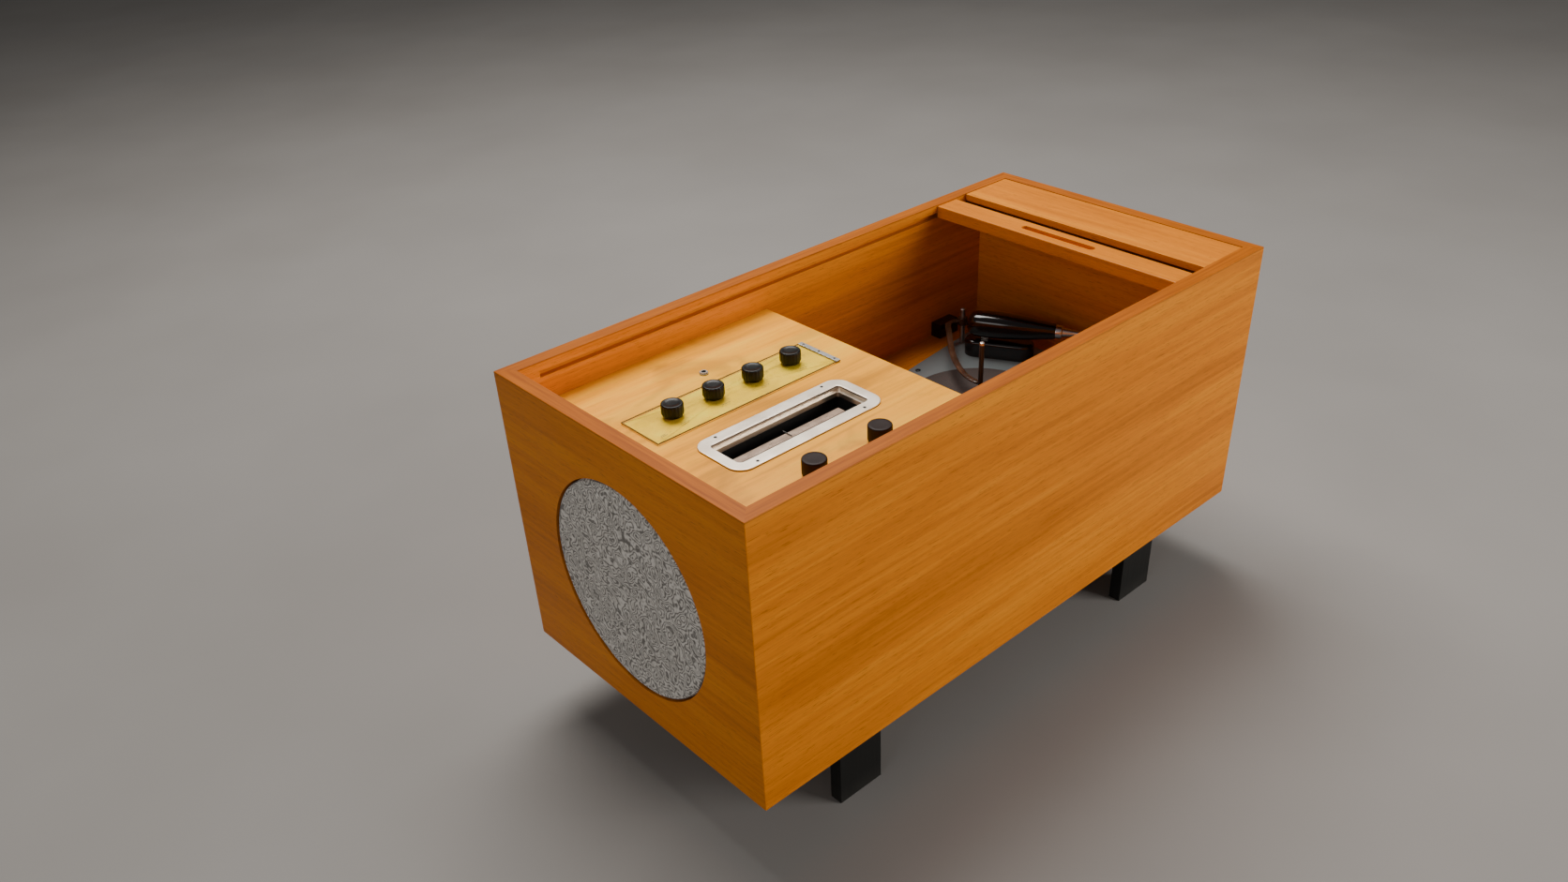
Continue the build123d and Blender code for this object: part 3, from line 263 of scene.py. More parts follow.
def raw_board():
    """Plain plywood and deal inside the cabinet."""
    g = Graph("plain_board")
    streaks = g.noise((6.0, 90.0, 90.0), 4.0, 0.6)
    colour = g.ramp(streaks, [
        (0.3, (0.3, 0.135, 0.04)), (0.5, (0.44, 0.225, 0.075)), (0.7, (0.56, 0.32, 0.13)),
    ])
    stain = g.step(g.noise(5.0), 0.45, 0.75)
    colour = g.mark(colour, stain, 0.5, (0.16, 0.075, 0.025))
    return g.finish(Base_Color=colour, Roughness=0.72, Normal=g.bump(streaks, 0.2, 0.4 * MM))


def black_paint():
    """Black brushed paint on the legs, scuffed in places and dusty low down."""
    g = Graph("black_leg_paint")
    brush = g.noise((300.0, 300.0, 12.0))
    scuffs = g.step(g.noise((90.0, 90.0, 40.0), 5.0, 0.7), 0.62, 0.74)
    colour = g.mix(g.times(scuffs, 0.3), (0.006, 0.006, 0.005), (0.03, 0.026, 0.021))
    z = g.axes()[Z]
    dust = g.times(g.minus(1.0, g.step(z, 0.0, 0.03)), g.noise(40.0))
    colour = g.mark(colour, dust, 0.3, (0.06, 0.054, 0.048))
    return g.finish(
        Base_Color=colour, Roughness=g.between(brush, 0.4, 0.6), Normal=g.bump(brush, 0.12, 0.2 * MM),
        Specular_IOR_Level=0.3,
    )


def brushed_metal(name, colour, low, high, grain, spots):
    """A metal with a drawn grain, uneven gloss and faint spots of tarnish."""
    g = Graph(name)
    lines = g.noise(grain, 4.0, 0.6)
    cloud = g.noise(30.0, 4.0, 0.6)
    dull = tuple(0.62 * c for c in colour)
    tone = g.mix(g.times(g.step(cloud, 0.45, 0.75), 0.5), colour, dull)
    speck = g.step(g.noise(420.0), 0.66, 0.74)
    tone = g.mark(tone, speck, spots, (0.1, 0.08, 0.06))
    rough = g.between(g.times(g.plus(lines, cloud), 0.5), low, high)
    return g.finish(Base_Color=tone, Metallic=1.0, Roughness=rough, Normal=g.bump(lines, 0.05, 0.1 * MM))


def framed_chrome():
    """The window frame's polished chrome, with a painted shade line where its flange meets the panel."""
    g = Graph("window_frame_chrome")
    lines = g.noise((30.0, 500.0, 500.0), 4.0, 0.6)
    cloud = g.noise(26.0, 4.0, 0.6)
    tone = g.ramp(cloud, [(0.35, (0.86, 0.74, 0.6)), (0.65, (1.0, 0.9, 0.76))])
    z = g.axes()[Z]
    panel_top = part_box("control_panel")[1][2]
    above = g.step(z, panel_top - 0.3 * MM, panel_top - 0.1 * MM)
    below = g.minus(1.0, g.step(z, panel_top + 0.9 * MM, panel_top + 1.4 * MM))
    # Painted shade: a dark, less metallic band just over the panel's face stands in for the shade where
    # the flange meets the panel.
    flange_shade = g.times(above, below)
    tone = g.mark(tone, flange_shade, 0.9, (0.06, 0.045, 0.03))
    rough = g.between(g.times(g.plus(lines, cloud), 0.5), 0.24, 0.42)
    return g.finish(
        Base_Color=tone, Metallic=g.between(flange_shade, 1.0, 0.2), Roughness=rough,
        Normal=g.bump(lines, 0.05, 0.1 * MM),
    )


def spindle_finish():
    """Blued steel of the changer's spindle, worn bright at its tip."""
    g = Graph("spindle_steel")
    drawn = g.noise((500.0, 500.0, 20.0))
    z = g.axes()[Z]
    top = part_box("spindle")[1][2]
    tip = g.step(z, top - 4.5 * MM, top - 3.0 * MM)
    blued = g.ramp(drawn, [(0.3, (0.018, 0.016, 0.015)), (0.7, (0.06, 0.055, 0.05))])
    tone = g.mix(tip, blued, (0.75, 0.73, 0.7))
    return g.finish(
        Base_Color=tone, Metallic=tip, Roughness=g.between(drawn, 0.2, 0.36), Specular_IOR_Level=0.3,
    )


def brass_foil():
    """The tone plate: yellow lacquered metal, clouded, with small rubbed patches."""
    g = Graph("brass_plate")
    cloud = g.noise((16.0, 34.0, 20.0), 4.0, 0.6, 0.5)
    tone = g.ramp(cloud, [(0.3, (0.8, 0.5, 0.006)), (0.52, (1.0, 0.66, 0.012)), (0.72, (1.0, 0.78, 0.04))])
    rub = g.step(g.noise(150.0, 4.0, 0.7), 0.63, 0.73)
    tone = g.mark(tone, rub, 0.35, (0.2, 0.13, 0.03))
    rough = g.between(g.noise(60.0), 0.2, 0.38)
    return g.finish(
        Base_Color=tone, Metallic=0.0, Roughness=rough, Coat_Weight=0.22, Coat_Roughness=0.05,
        Specular_IOR_Level=0.25,
    )


def clear_cover():
    """The thin clear sheet over the tone plate, a little yellowed, with a painted shade line round its
    edge.
    """
    g = Graph("clear_cover")
    haze = g.noise(60.0)
    tone = g.ramp(haze, [(0.3, (0.8, 0.66, 0.25)), (0.7, (0.92, 0.8, 0.4))])
    low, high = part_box("tone_plate_cover")
    x, y = g.axes()[:Z]
    inside_x = g.maths("MINIMUM", g.minus(x, low[0]), g.minus(high[0], x))
    inside_y = g.maths("MINIMUM", g.minus(y, low[1]), g.minus(high[1], y))
    # Painted shade: the sheet's outer millimetre turns dark and nearly opaque, standing in for the shade
    # along its edge.
    middle = g.step(g.maths("MINIMUM", inside_x, inside_y), 0.4 * MM, 1.0 * MM)
    tone = g.mix(middle, (0.05, 0.032, 0.016), tone)
    g.material.blend_method = "BLEND"
    return g.finish(
        Base_Color=tone, Roughness=g.between(haze, 0.05, 0.14), Alpha=g.between(middle, 0.9, 0.05),
        IOR=1.49,
    )


def moulding(name, colour, fleck, low, high, scratch, coat=0.3, shine=0.5):
    """Moulded plastic or Bakelite: fine flecks, soft swirls, hair scratches and worn gloss."""
    g = Graph(name)
    flecks = g.step(g.noise(900.0, 2.0), 0.55, 0.75)
    swirl = g.noise(60.0, 3.0, 0.5, 1.0)
    tone = g.mix(g.between(swirl, 0.0, 0.6), colour, fleck)
    tone = g.mark(tone, flecks, 0.35, fleck)
    hairs = g.step(g.noise((90.0, 1400.0, 500.0), turn=(0.3, 0.5, 0.7)), 0.64, 0.72)
    tone = g.mark(tone, hairs, scratch, tuple(min(1.0, 2.6 * c + 0.02) for c in fleck))
    rough = g.between(swirl, low, high)
    return g.finish(
        Base_Color=tone, Roughness=rough, Normal=g.bump(swirl, 0.06, 0.3 * MM),
        Coat_Weight=coat, Coat_Roughness=0.18, Specular_IOR_Level=shine,
    )


def enamel(name, colour, speck):
    """Stoved enamel on sheet metal: orange peel, a few chips and handling marks."""
    g = Graph(name)
    peel = g.noise(420.0, 2.0)
    cloud = g.noise(14.0, 4.0, 0.6)
    tone = g.mix(g.between(cloud, 0.0, 0.5), colour, tuple(0.72 * c for c in colour))
    chips = g.step(g.noise(200.0, 4.0, 0.65), 0.69, 0.73)
    tone = g.mark(tone, chips, 0.7, speck)
    return g.finish(
        Base_Color=tone, Roughness=g.between(cloud, 0.26, 0.46), Normal=g.bump(peel, 0.05, 0.2 * MM),
        Coat_Weight=0.25, Coat_Roughness=0.2,
    )


def grille_weave():
    """Grey and silver woven grille cloth: fine threads over the raised worm-like figure."""
    g = Graph("grille_cloth")
    patch = g.noise(46.0, 1.0)
    drift = g.noise(150.0, 1.0)
    turns = g.plus(g.times(patch, 12.0), g.times(drift, 0.9))
    ridges = g.maths("SINE", g.times(turns, 2 * pi))
    breaks = g.step(g.noise(230.0, 2.0), 0.4, 0.58)
    figure = g.times(g.plus(g.times(ridges, 0.5), 0.5), g.between(breaks, 0.55, 1.0))
    over = g.node("ShaderNodeTexWave", wave_type="BANDS", bands_direction="Y")
    under = g.node("ShaderNodeTexWave", wave_type="BANDS", bands_direction="Z")
    for wave in (over, under):
        g.fill(wave, Vector=g.place, Scale=330.0, Distortion=1.2, Detail=2.0, Detail_Scale=1.5)
    threads = g.times(over.outputs["Fac"], under.outputs["Fac"])
    tone = g.ramp(figure, [
        (0.05, (0.12, 0.111, 0.1)), (0.32, (0.58, 0.545, 0.495)), (0.8, (0.98, 0.93, 0.86)),
    ])
    tone = g.mix(g.between(threads, 0.35, 0.0), tone, (0.14, 0.13, 0.118))
    lustre = g.step(g.noise(240.0, 2.0), 0.55, 0.7)
    tone = g.mark(tone, lustre, 0.35, (0.9, 0.88, 0.84))
    soil = g.noise(9.0)
    tone = g.mix(g.between(soil, 0.0, 0.22), tone, (0.34, 0.3, 0.25))
    relief = g.bump(threads, 0.4, 0.25 * MM, g.bump(figure, 0.7, 0.8 * MM))
    return g.finish(
        Base_Color=tone, Roughness=0.72, Normal=relief, Sheen_Weight=0.35, Sheen_Roughness=0.45,
        Specular_IOR_Level=0.35,
    )


def felt():
    """Dark felt ring behind the grille cloth."""
    g = Graph("felt_ring")
    fuzz = g.noise(900.0, 4.0, 0.7)
    tone = g.ramp(fuzz, [(0.3, (0.018, 0.016, 0.014)), (0.7, (0.055, 0.05, 0.045))])
    return g.finish(Base_Color=tone, Roughness=0.95, Normal=g.bump(fuzz, 0.7, 0.5 * MM), Sheen_Weight=0.5)


def turntable_mat():
    """The platter's brown flocked rubber mat, with fine rings and dust."""
    g = Graph("platter_mat")
    grit = g.noise(700.0)
    tone = g.ramp(grit, [(0.3, (0.014, 0.007, 0.005)), (0.7, (0.034, 0.017, 0.012))])
    dust = g.step(g.noise(24.0, 4.0, 0.6), 0.5, 0.8)
    tone = g.mark(tone, dust, 0.1, (0.12, 0.09, 0.07))
    return g.finish(Base_Color=tone, Roughness=0.8, Normal=g.bump(grit, 0.4, 0.2 * MM))


def amber_plastic():
    """Smoky brown translucent plastic of the steadying arm."""
    g = Graph("amber_plastic")
    swirl = g.noise(40.0, 3.0, 0.5, 0.8)
    tone = g.ramp(swirl, [(0.3, (0.03, 0.014, 0.008)), (0.7, (0.085, 0.04, 0.023))])
    return g.finish(
        Base_Color=tone, Roughness=g.between(swirl, 0.14, 0.28), Coat_Weight=0.1, Coat_Roughness=0.1,
        Specular_IOR_Level=0.25, Alpha=0.88, Subsurface_Weight=0.25,
        Subsurface_Radius=(0.004, 0.0015, 0.0006),
    )


def scale_print():
    """The tuning scale's cream strip, yellowed and speckled with age."""
    g = Graph("scale_strip")
    age = g.noise((40.0, 90.0, 40.0), 4.0, 0.6)
    tone = g.ramp(age, [
        (0.3, (0.17, 0.095, 0.055)), (0.55, (0.36, 0.24, 0.165)), (0.75, (0.52, 0.39, 0.29)),
    ])
    spots = g.step(g.noise(260.0, 4.0, 0.6), 0.62, 0.72)
    tone = g.mark(tone, spots, 0.5, (0.1, 0.055, 0.03))
    return g.finish(Base_Color=tone, Roughness=0.5, Normal=g.bump(age, 0.1, 0.2 * MM))


def printed_black():
    """Screened ink on the plate and the scale."""
    g = Graph("printed_ink")
    patchy = g.noise(600.0)
    tone = g.ramp(patchy, [(0.35, (0.055, 0.04, 0.018)), (0.7, (0.16, 0.125, 0.05))])
    return g.finish(Base_Color=tone, Roughness=g.between(patchy, 0.4, 0.6))


def cone_paper():
    """Black felted paper of the loudspeaker cone."""
    g = Graph("cone_paper")
    fibre = g.noise(300.0, 4.0, 0.7)
    tone = g.ramp(fibre, [(0.3, (0.02, 0.018, 0.016)), (0.7, (0.06, 0.054, 0.048))])
    return g.finish(Base_Color=tone, Roughness=0.9, Normal=g.bump(fibre, 0.4, 0.3 * MM))


def valve_glass():
    """Clear valve glass with a silvered getter patch at the top."""
    g = Graph("valve_glass")
    z = g.axes()[Z]
    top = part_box("valves")[1][2]
    getter = g.step(z, top - 0.016, top - 0.008)
    haze = g.noise(80.0)
    clear = g.ramp(haze, [(0.3, (0.7, 0.74, 0.74)), (0.7, (0.86, 0.9, 0.9))])
    tone = g.mix(getter, clear, (0.35, 0.35, 0.36))
    g.material.blend_method = "BLEND"
    return g.finish(
        Base_Color=tone, Metallic=getter, Roughness=g.between(haze, 0.04, 0.12),
        Alpha=g.between(getter, 0.35, 1.0),
    )


veneers = {
    "front": veneer("veneer_front", X, OUTSIDE, LIPPING, 0.0),
    "back": veneer("veneer_back", X, OUTSIDE, LIPPING, 3.1),
    "speaker_end": veneer("veneer_speaker_end", Y, OUTSIDE, LIPPING, 5.3, contrast=0.8),
    "storage_end": veneer("veneer_storage_end", Y, OUTSIDE, LIPPING, 7.9, contrast=0.8),
    "lid": veneer("veneer_lid", Y, OUTSIDE, None, 2.2, gloss=0.36, contrast=0.7),
    "fixed_top": veneer("veneer_fixed_top", Y, OUTSIDE, None, 4.4, gloss=0.36, contrast=0.9),
    "inside": veneer("veneer_inside", Y, INSIDE, None, 9.3, contrast=0.8),
    "motor_board": veneer("veneer_motor_board", X, INSIDE, None, 11.7, contrast=0.8),
}
maple = maple_panel()
slat_wood = tambour_wood()
board = raw_board()
leg_paint = black_paint()
frame_chrome = framed_chrome()
steel = brushed_metal("plated_steel", (0.42, 0.42, 0.41), 0.26, 0.46, (60.0, 60.0, 700.0), 0.3)
dark_screw = brushed_metal("screw_steel", (0.045, 0.04, 0.036), 0.3, 0.5, (500.0, 500.0, 500.0), 0.4)
arm_silver = brushed_metal("arm_silver", (0.62, 0.64, 0.67), 0.22, 0.38, (300.0, 300.0, 300.0), 0.1)
spindle_steel = spindle_finish()
aluminium = brushed_metal("chassis_metal", (0.52, 0.53, 0.54), 0.3, 0.5, (20.0, 700.0, 700.0), 0.15)
brass = brass_foil()
cover_sheet = clear_cover()
black_moulding = moulding(
    "black_knob_moulding", (0.003, 0.003, 0.003), (0.009, 0.009, 0.009), 0.26, 0.42, 0.05, 0.0, 0.22)
brown_moulding = moulding(
    "brown_knob_bakelite", (0.008, 0.003, 0.0025), (0.028, 0.012, 0.009), 0.36, 0.55, 0.35, 0.0, 0.14)
arm_moulding = moulding("dark_bakelite", (0.003, 0.0015, 0.0015), (0.01, 0.004, 0.003), 0.08, 0.18, 0.05)
dark_metal = moulding("black_crackle", (0.01, 0.009, 0.009), (0.03, 0.028, 0.026), 0.45, 0.65, 0.05, 0.0)
iron = moulding("core_varnish", (0.03, 0.016, 0.01), (0.075, 0.045, 0.03), 0.4, 0.6, 0.1, 0.1)
deck_enamel = enamel("deck_enamel", (0.155, 0.18, 0.185), (0.05, 0.05, 0.05))
platter_enamel = enamel("platter_enamel", (0.2, 0.185, 0.165), (0.06, 0.05, 0.04))
weave = grille_weave()
felt_cloth = felt()
mat_rubber = turntable_mat()
amber = amber_plastic()
strip = scale_print()
ink = printed_black()
paper = cone_paper()
glass = valve_glass()
tyre_rubber = moulding("idler_rubber", (0.012, 0.012, 0.012), (0.03, 0.028, 0.026), 0.6, 0.8, 0.05, 0.0)

# The nodes that this list leaves out are plated steel.
FINISHES = (
    (veneers["front"], "cabinet_side_front"),
    (veneers["back"], "cabinet_side_back"),
    (veneers["speaker_end"], "cabinet_end_speaker"),
    (veneers["storage_end"], "cabinet_end_storage"),
    (veneers["inside"], "divider", "chassis_partition"),
    (veneers["motor_board"], "motor_board"),
    (veneers["lid"], "lid_bar"),
    (veneers["fixed_top"], "fixed_top_panel"),
    (maple, "control_panel"),
    (board, "cabinet_bottom", "speaker_baffle", "support_cleats"),
    (leg_paint, "leg_rails", "leg_front_speaker_end", "leg_back_speaker_end"),
    (leg_paint, "leg_front_storage_end", "leg_back_storage_end"),
    (felt_cloth, "grille_ring"),
    (paper, "speaker_cone"),
    (iron, "speaker_magnet", "power_transformer", "drive_motor"),
    (brass, "tone_plate"),
    (cover_sheet, "tone_plate_cover"),
    (frame_chrome, "window_frame"),
    (dark_metal, "dial_well", "dial_pointer"),
    (strip, "dial_scale"),
    (aluminium, "radio_chassis"),
    (glass, "valves"),
    (deck_enamel, "deck_plate"),
    (platter_enamel, "platter"),
    (spindle_steel, "spindle"),
    (arm_moulding, "tonearm_base", "terminal_block"),
    (tyre_rubber, "idler_wheel"),
)


def paint(piece, material):
    """Gives a piece one material."""
    piece.data.materials.clear()
    piece.data.materials.append(material)


for cad_node in frame["nodes"].values():
    paint(cad_node, steel)
for material, *node_names in FINISHES:
    for node_name in node_names:
        paint(frame["nodes"][node_name], material)


# ---------------- mesh helpers
def new_piece(name, points, faces, material, body, slot, nodes=(), smooth=True):
    """A mesh piece in the row frame that rides on a body and stands for CAD nodes."""
    mesh = bpy.data.meshes.new(name)
    mesh.from_pydata([tuple(p) for p in points], [], faces)
    mesh.validate()
    piece = bpy.data.objects.new(name, mesh)
    bpy.context.scene.collection.objects.link(piece)
    mesh.materials.append(material)
    for face in mesh.polygons:
        face.use_smooth = smooth
    if body:
        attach(piece, body)
    if nodes:
        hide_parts(*nodes)
    return piece


def rings_to_faces(rings, count, closed_ends=True):
    """Quads between rings of count points each, and a face across the first and the last ring."""
    faces = []
    for ring in range(rings - 1):
        for i in range(count):
            a, b = ring * count + i, ring * count + (i + 1) % count
            faces.append((a, b, b + count, a + count))
    if closed_ends:
        faces.append(tuple(range(count - 1, -1, -1)))
        faces.append(tuple((rings - 1) * count + i for i in range(count)))
    return faces


def mm(*values):
    """Millimetres as metres."""
    return tuple(value * MM for value in values)


def mm_rows(rows):
    """Rows of millimetres as rows of metres."""
    return [mm(*row) for row in rows]


def block(place, x_span, y_span, z_span):
    """Points and faces of a block in a place's own axes."""
    points = []
    for z in z_span:
        for i, j in ((0, 0), (1, 0), (1, 1), (0, 1)):
            points.append(place @ Vector((x_span[i], y_span[j], z)))
    return points, [(3, 2, 1, 0), (4, 5, 6, 7), (0, 1, 5, 4), (1, 2, 6, 5), (2, 3, 7, 6), (3, 0, 4, 7)]


def smooth_curve(points, steps):
    """A Catmull-Rom curve through the points."""
    ends = [points[0], *points, points[-1]]
    curve = []
    for i in range(1, len(ends) - 2):
        p0, p1, p2, p3 = (Vector(ends[i + k]) for k in (-1, 0, 1, 2))
        for step in range(steps):
            t = step / steps
            curve.append(0.5 * (2 * p1 + (p2 - p0) * t + (2 * p0 - 5 * p1 + 4 * p2 - p3) * t**2
                                + (3 * p1 - p0 - 3 * p2 + p3) * t**3))
    return [*curve, Vector(points[-1])]


def turned(profile, place, count=64, cut=None):
    """Points and faces of a profile of (radius, height) turned about the local Z of place.

    cut gives how deep a groove is at a radius, a height and an angle.
    """
    points = []
    for radius, height in profile:
        for i in range(count):
            angle = 2 * pi * i / count
            r = radius - cut(radius, height, angle) if cut else radius
            points.append(place @ Vector((r * cos(angle), r * sin(angle), height)))
    return points, rings_to_faces(len(profile), count)


def joint(name):
    """A joint's row in the frame."""
    return next(row for row in frame["joints"] if row["name"] == name)


def joint_place(name):
    """The point that a joint turns about."""
    return Vector(joint(name)["pos_m"])


def local_place(origin, heading=0.0):
    """A place at origin whose local X points along heading, in the XY plane."""
    return Matrix.Translation(origin) @ Matrix.Rotation(heading, 4, "Z")


def superellipse(angle, power):
    """A point at an angle on a unit outline that is round at power 1 and squarer below it."""
    c, s = cos(angle), sin(angle)
    return abs(c) ** power * (1 if c >= 0 else -1), abs(s) ** power * (1 if s >= 0 else -1)


def domed_screw(place, radius, height, slot_angle, count=24):
    """Points and faces of a raised screw head with a cut slot, standing on place's XY plane."""
    place = place @ Matrix.Rotation(slot_angle, 4, "Z")
    flat = 0.42 * radius
    dome = [(radius, 0.0), (radius, 0.35 * height), (0.92 * radius, 0.7 * height),
            (0.7 * radius, 0.93 * height), (flat, height)]
    points, faces = turned(dome, place, count)
    faces.pop()
    base = len(points)
    top_ring = base - count
    half_long, half_wide = 0.93 * flat, 0.16 * radius
    for level in (height, 0.45 * height):
        for u, v in ((1, 1), (-1, 1), (-1, -1), (1, -1)):
            points.append(place @ Vector((u * half_long, v * half_wide, level)))
    quarter = count // 4
    for k in range(4):
        following = (k + 1) % 4
        start = quarter // 2 + k * quarter
        arc = [top_ring + (start + i) % count for i in range(quarter + 1)]
        faces.append((base + k, *arc, base + following))
        faces.append((base + k, base + following, base + 4 + following, base + 4 + k))
    faces.append((base + 4, base + 5, base + 6, base + 7))
    return points, faces


def joined(parts):
    """Several (points, faces) lists as one."""
    points, faces = [], []
    for more_points, more_faces in parts:
        base = len(points)
        points.extend(more_points)
        faces.extend(tuple(base + i for i in face) for face in more_faces)
    return points, faces


def soften(piece, width, segments=2):
    """Rounds a piece's sharp edges."""
    bevel = piece.modifiers.new("eased edges", "BEVEL")
    bevel.width = width
    bevel.segments = segments
    bevel.limit_method = "ANGLE"
    bevel.angle_limit = radians(35)


# ---------------- grille cloth
GRILLE_RINGS = 112
GRILLE_SPOKES = 560
EDGE_RINGS = 14
FIGURE_DEPTH = 0.16 * MM


def worm_figure(y, z):
    """The cloth's raised figure, -1 to 1: short parallel ridges that turn from patch to patch."""
    here = Vector((y, z, 0.0))
    patch = noise.noise(here * 46.0 + Vector((3.0, 7.0, 0.0)))
    drift = noise.noise(here * 150.0 + Vector((0.0, 0.0, 5.0)))
    ridges = sin(2 * pi * (8.0 * patch + 0.45 * drift))
    breaks = noise.noise(here * 210.0 + Vector((9.0, 2.0, 1.0)))
    return max(-1.0, min(1.0, ridges * (0.95 + 0.5 * breaks) + 0.3 * breaks + 0.15))


def weave_grille():
    """The cloth: a flat woven disc that rolls over its edge and tucks in behind the ring."""
    low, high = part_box("grille_cloth")
    radius = (high[1] - low[1]) / 2
    middle_z = (high[2] + low[2]) / 2
    roll = 4.5 * MM
    flat_radius = radius - roll
    face_x = low[0] + 0.35 * MM
    points = []
    for ring in range(GRILLE_RINGS + EDGE_RINGS):
        r, x, strength = flat_radius * ring / (GRILLE_RINGS - 1), face_x, 1.0
        if ring >= GRILLE_RINGS:
            turn = min(1.0, (ring - GRILLE_RINGS + 1) / 9) * pi / 2
            tuck = max(0, ring - GRILLE_RINGS - 8) * 1.6 * MM
            r = flat_radius + (roll - 0.5 * MM) * sin(turn)
            x = face_x + roll * (1 - cos(turn)) + tuck
            strength = cos(turn)
        sag = 0.5 * MM * (1 - (r / radius) ** 2)
        for spoke in range(GRILLE_SPOKES):
            angle = 2 * pi * spoke / GRILLE_SPOKES
            c, s = cos(angle), sin(angle)
            y, z = r * c, r * s
            stretch = 1.0
            if ring > GRILLE_RINGS:
                stretch += 0.006 * noise.noise(Vector((6 * c, 6 * s, 2.0)))
            relief = FIGURE_DEPTH * worm_figure(y, z) * max(0.25, strength)
            points.append((x + sag - relief, y * stretch, middle_z + z * stretch))
    faces = rings_to_faces(GRILLE_RINGS + EDGE_RINGS, GRILLE_SPOKES, closed_ends=False)
    cloth = new_piece("grille_cloth_weave", points, faces, weave, "cabinet", "grille_weave",
                      ["grille_cloth"])


weave_grille()


# ---------------- knobs
FLUTES = 18
MILLING = 60
SHAFT_RADIUS = 2.9 * MM
KNOB_GAP = 0.8 * MM

# Rows are (radius, height over the foot) and (radius, depth under the top), in millimetres.
BLACK_FOOT = ((0.4, 0), (11.4, 0), (11.9, 0.35), (12.1, 1.6), (12.4, 2.2), (13.1, 2.9), (13.5, 3.8))
RIM_ANGLES = map(radians, (0, 30, 54, 75, 90))
BLACK_RIM = [(13.5 - 1.9 * (1 - cos(angle)), 1.9 * (1 - sin(angle))) for angle in RIM_ANGLES]
BLACK_TOP = (*BLACK_RIM, (9.4, 0), (8.8, 0.35), (5.0, 0.5), (0.4, 0.55))
BROWN_FOOT = ((0.4, 0), (12.8, 0), (13.4, 0.4), (13.6, 2.0), (13.9, 2.4), (14.2, 3.2))
BROWN_TOP = ((14.2, 1.4), (13.95, 0.75), (13.5, 0.25), (12.8, 0), (9.5, 0.1), (5.0, 0.2), (0.4, 0.25))


def flute(radius, height, angle, tall):
    """How deep a black knob's flutes are."""
    on_side = radius > 12.4 * MM and 3.4 * MM < height < tall - 0.9 * MM
    return 0.55 * MM * max(0.0, cos(FLUTES * angle)) ** 0.7 if on_side else 0.0


def milling(radius, height, angle, tall):
    """How deep a brown knob's fine milling is."""
    on_side = 3.0 * MM < height < tall - 1.2 * MM
    return 0.22 * MM * (0.5 + 0.5 * cos(MILLING * angle)) if on_side else 0.0


def turned_knob(name, body, seat, foot, top, groove, count, material, slot):
    """A moulded knob just over its seat, and the shaft that goes down from it."""
    centre = joint_place(name.removeprefix("knob_") + "_turn")
    low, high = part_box(name)
    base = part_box(seat)[1][2] + KNOB_GAP
    tall = high[2] - base
    crown = [(radius * MM, tall - depth * MM) for radius, depth in top]
    profile = [*mm_rows(foot), (foot[-1][0] * MM, tall * 0.5), *crown]
    place = Matrix.Translation((centre[0], centre[1], base))
    knob = turned(profile, place, count, lambda radius, height, angle: groove(radius, height, angle, tall))
    new_piece(name + "_moulding", *knob, material, body, slot, [name])
    shaft = turned([(SHAFT_RADIUS, low[2] - base), (SHAFT_RADIUS, 0.2 * MM)], place, 24)
    new_piece(name + "_shaft", *shaft, steel, body, "steel")


black_shape = ("tone_plate_cover", BLACK_FOOT, BLACK_TOP, flute, 10 * FLUTES, black_moulding,
               "black_plastic")
turned_knob("knob_bass", "bass_control", *black_shape)
turned_knob("knob_treble", "treble_control", *black_shape)
turned_knob("knob_band", "band_switch", *black_shape)
turned_knob("knob_balance", "balance_control", *black_shape)
brown_shape = ("control_panel", BROWN_FOOT, BROWN_TOP, milling, 6 * MILLING, brown_moulding,
               "brown_bakelite")
turned_knob("knob_volume", "volume_control", *brown_shape)
turned_knob("knob_tuning", "tuning_control", *brown_shape)


# ---------------- screws and end strip
STRIP_WIDTH = 7.0 * MM
STRIP_THICK = 0.6 * MM
WINDOW_SCREW_X = 82.3 * MM
WINDOW_SCREW_Y = 36.5 * MM

# From the deck's corner, in millimetres.
DECK_SCREWS = ((21, 62), (21, 280), (323, 21), (166, 302))


def screws(places, radius, height, first_slot, slot_step):
    """Screw heads at their places, each with its slot turned a step further."""
    heads = []
    for k, at in enumerate(places):
        heads.append(domed_screw(Matrix.Translation(at), radius, height, first_slot + slot_step * k))
    return heads


def trim():
    """The plate's bright end strip, and the slotted screws of the panel, window frame and deck."""
    low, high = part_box("tone_plate_cover")
    strip_top = high[2] + STRIP_THICK
    end_strip = block(Matrix(), (high[0] - STRIP_WIDTH, high[0]), (low[1], high[1]), (high[2], strip_top))
    soften(new_piece("plate_end_strip", *end_strip, steel, "cabinet", "chrome", smooth=False), 0.2 * MM)
    middle = high[0] - STRIP_WIDTH / 2
    plate_places = [(middle, low[1] + share * (high[1] - low[1]), strip_top) for share in (0.1, 0.5, 0.9)]
    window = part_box("window_frame")
    centre = (window[0] + window[1]) / 2
    window_places = []
    for y in (centre[1] - WINDOW_SCREW_Y, centre[1] + WINDOW_SCREW_Y):
        for x in (centre[0] - WINDOW_SCREW_X, centre[0] + WINDOW_SCREW_X):
            window_places.append((x, y, window[1][2]))
    heads = screws(plate_places, 1.5 * MM, 0.5 * MM, 0.7, 1.9)
    heads += screws(window_places, 2.0 * MM, 0.55 * MM, 0.4, 1.1)
    new_piece("panel_screw_heads", *joined(heads), dark_screw, "cabinet", "chrome", ["trim_screws"])
    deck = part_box("deck_plate")
    deck_places = [(deck[0][0] + x * MM, deck[0][1] + y * MM, deck[1][2]) for x, y in DECK_SCREWS]
    new_piece("deck_screw_heads", *joined(screws(deck_places, 4.0 * MM, 1.3 * MM, 0.9, 0.8)), dark_screw,
              "cabinet", "chrome")


trim()


# ---------------- printed marks
TICK_CIRCLE = 17.6 * MM
MARK_THICK = 0.05 * MM
FINE_MARKS = 56
WIDE_MARKS = 27


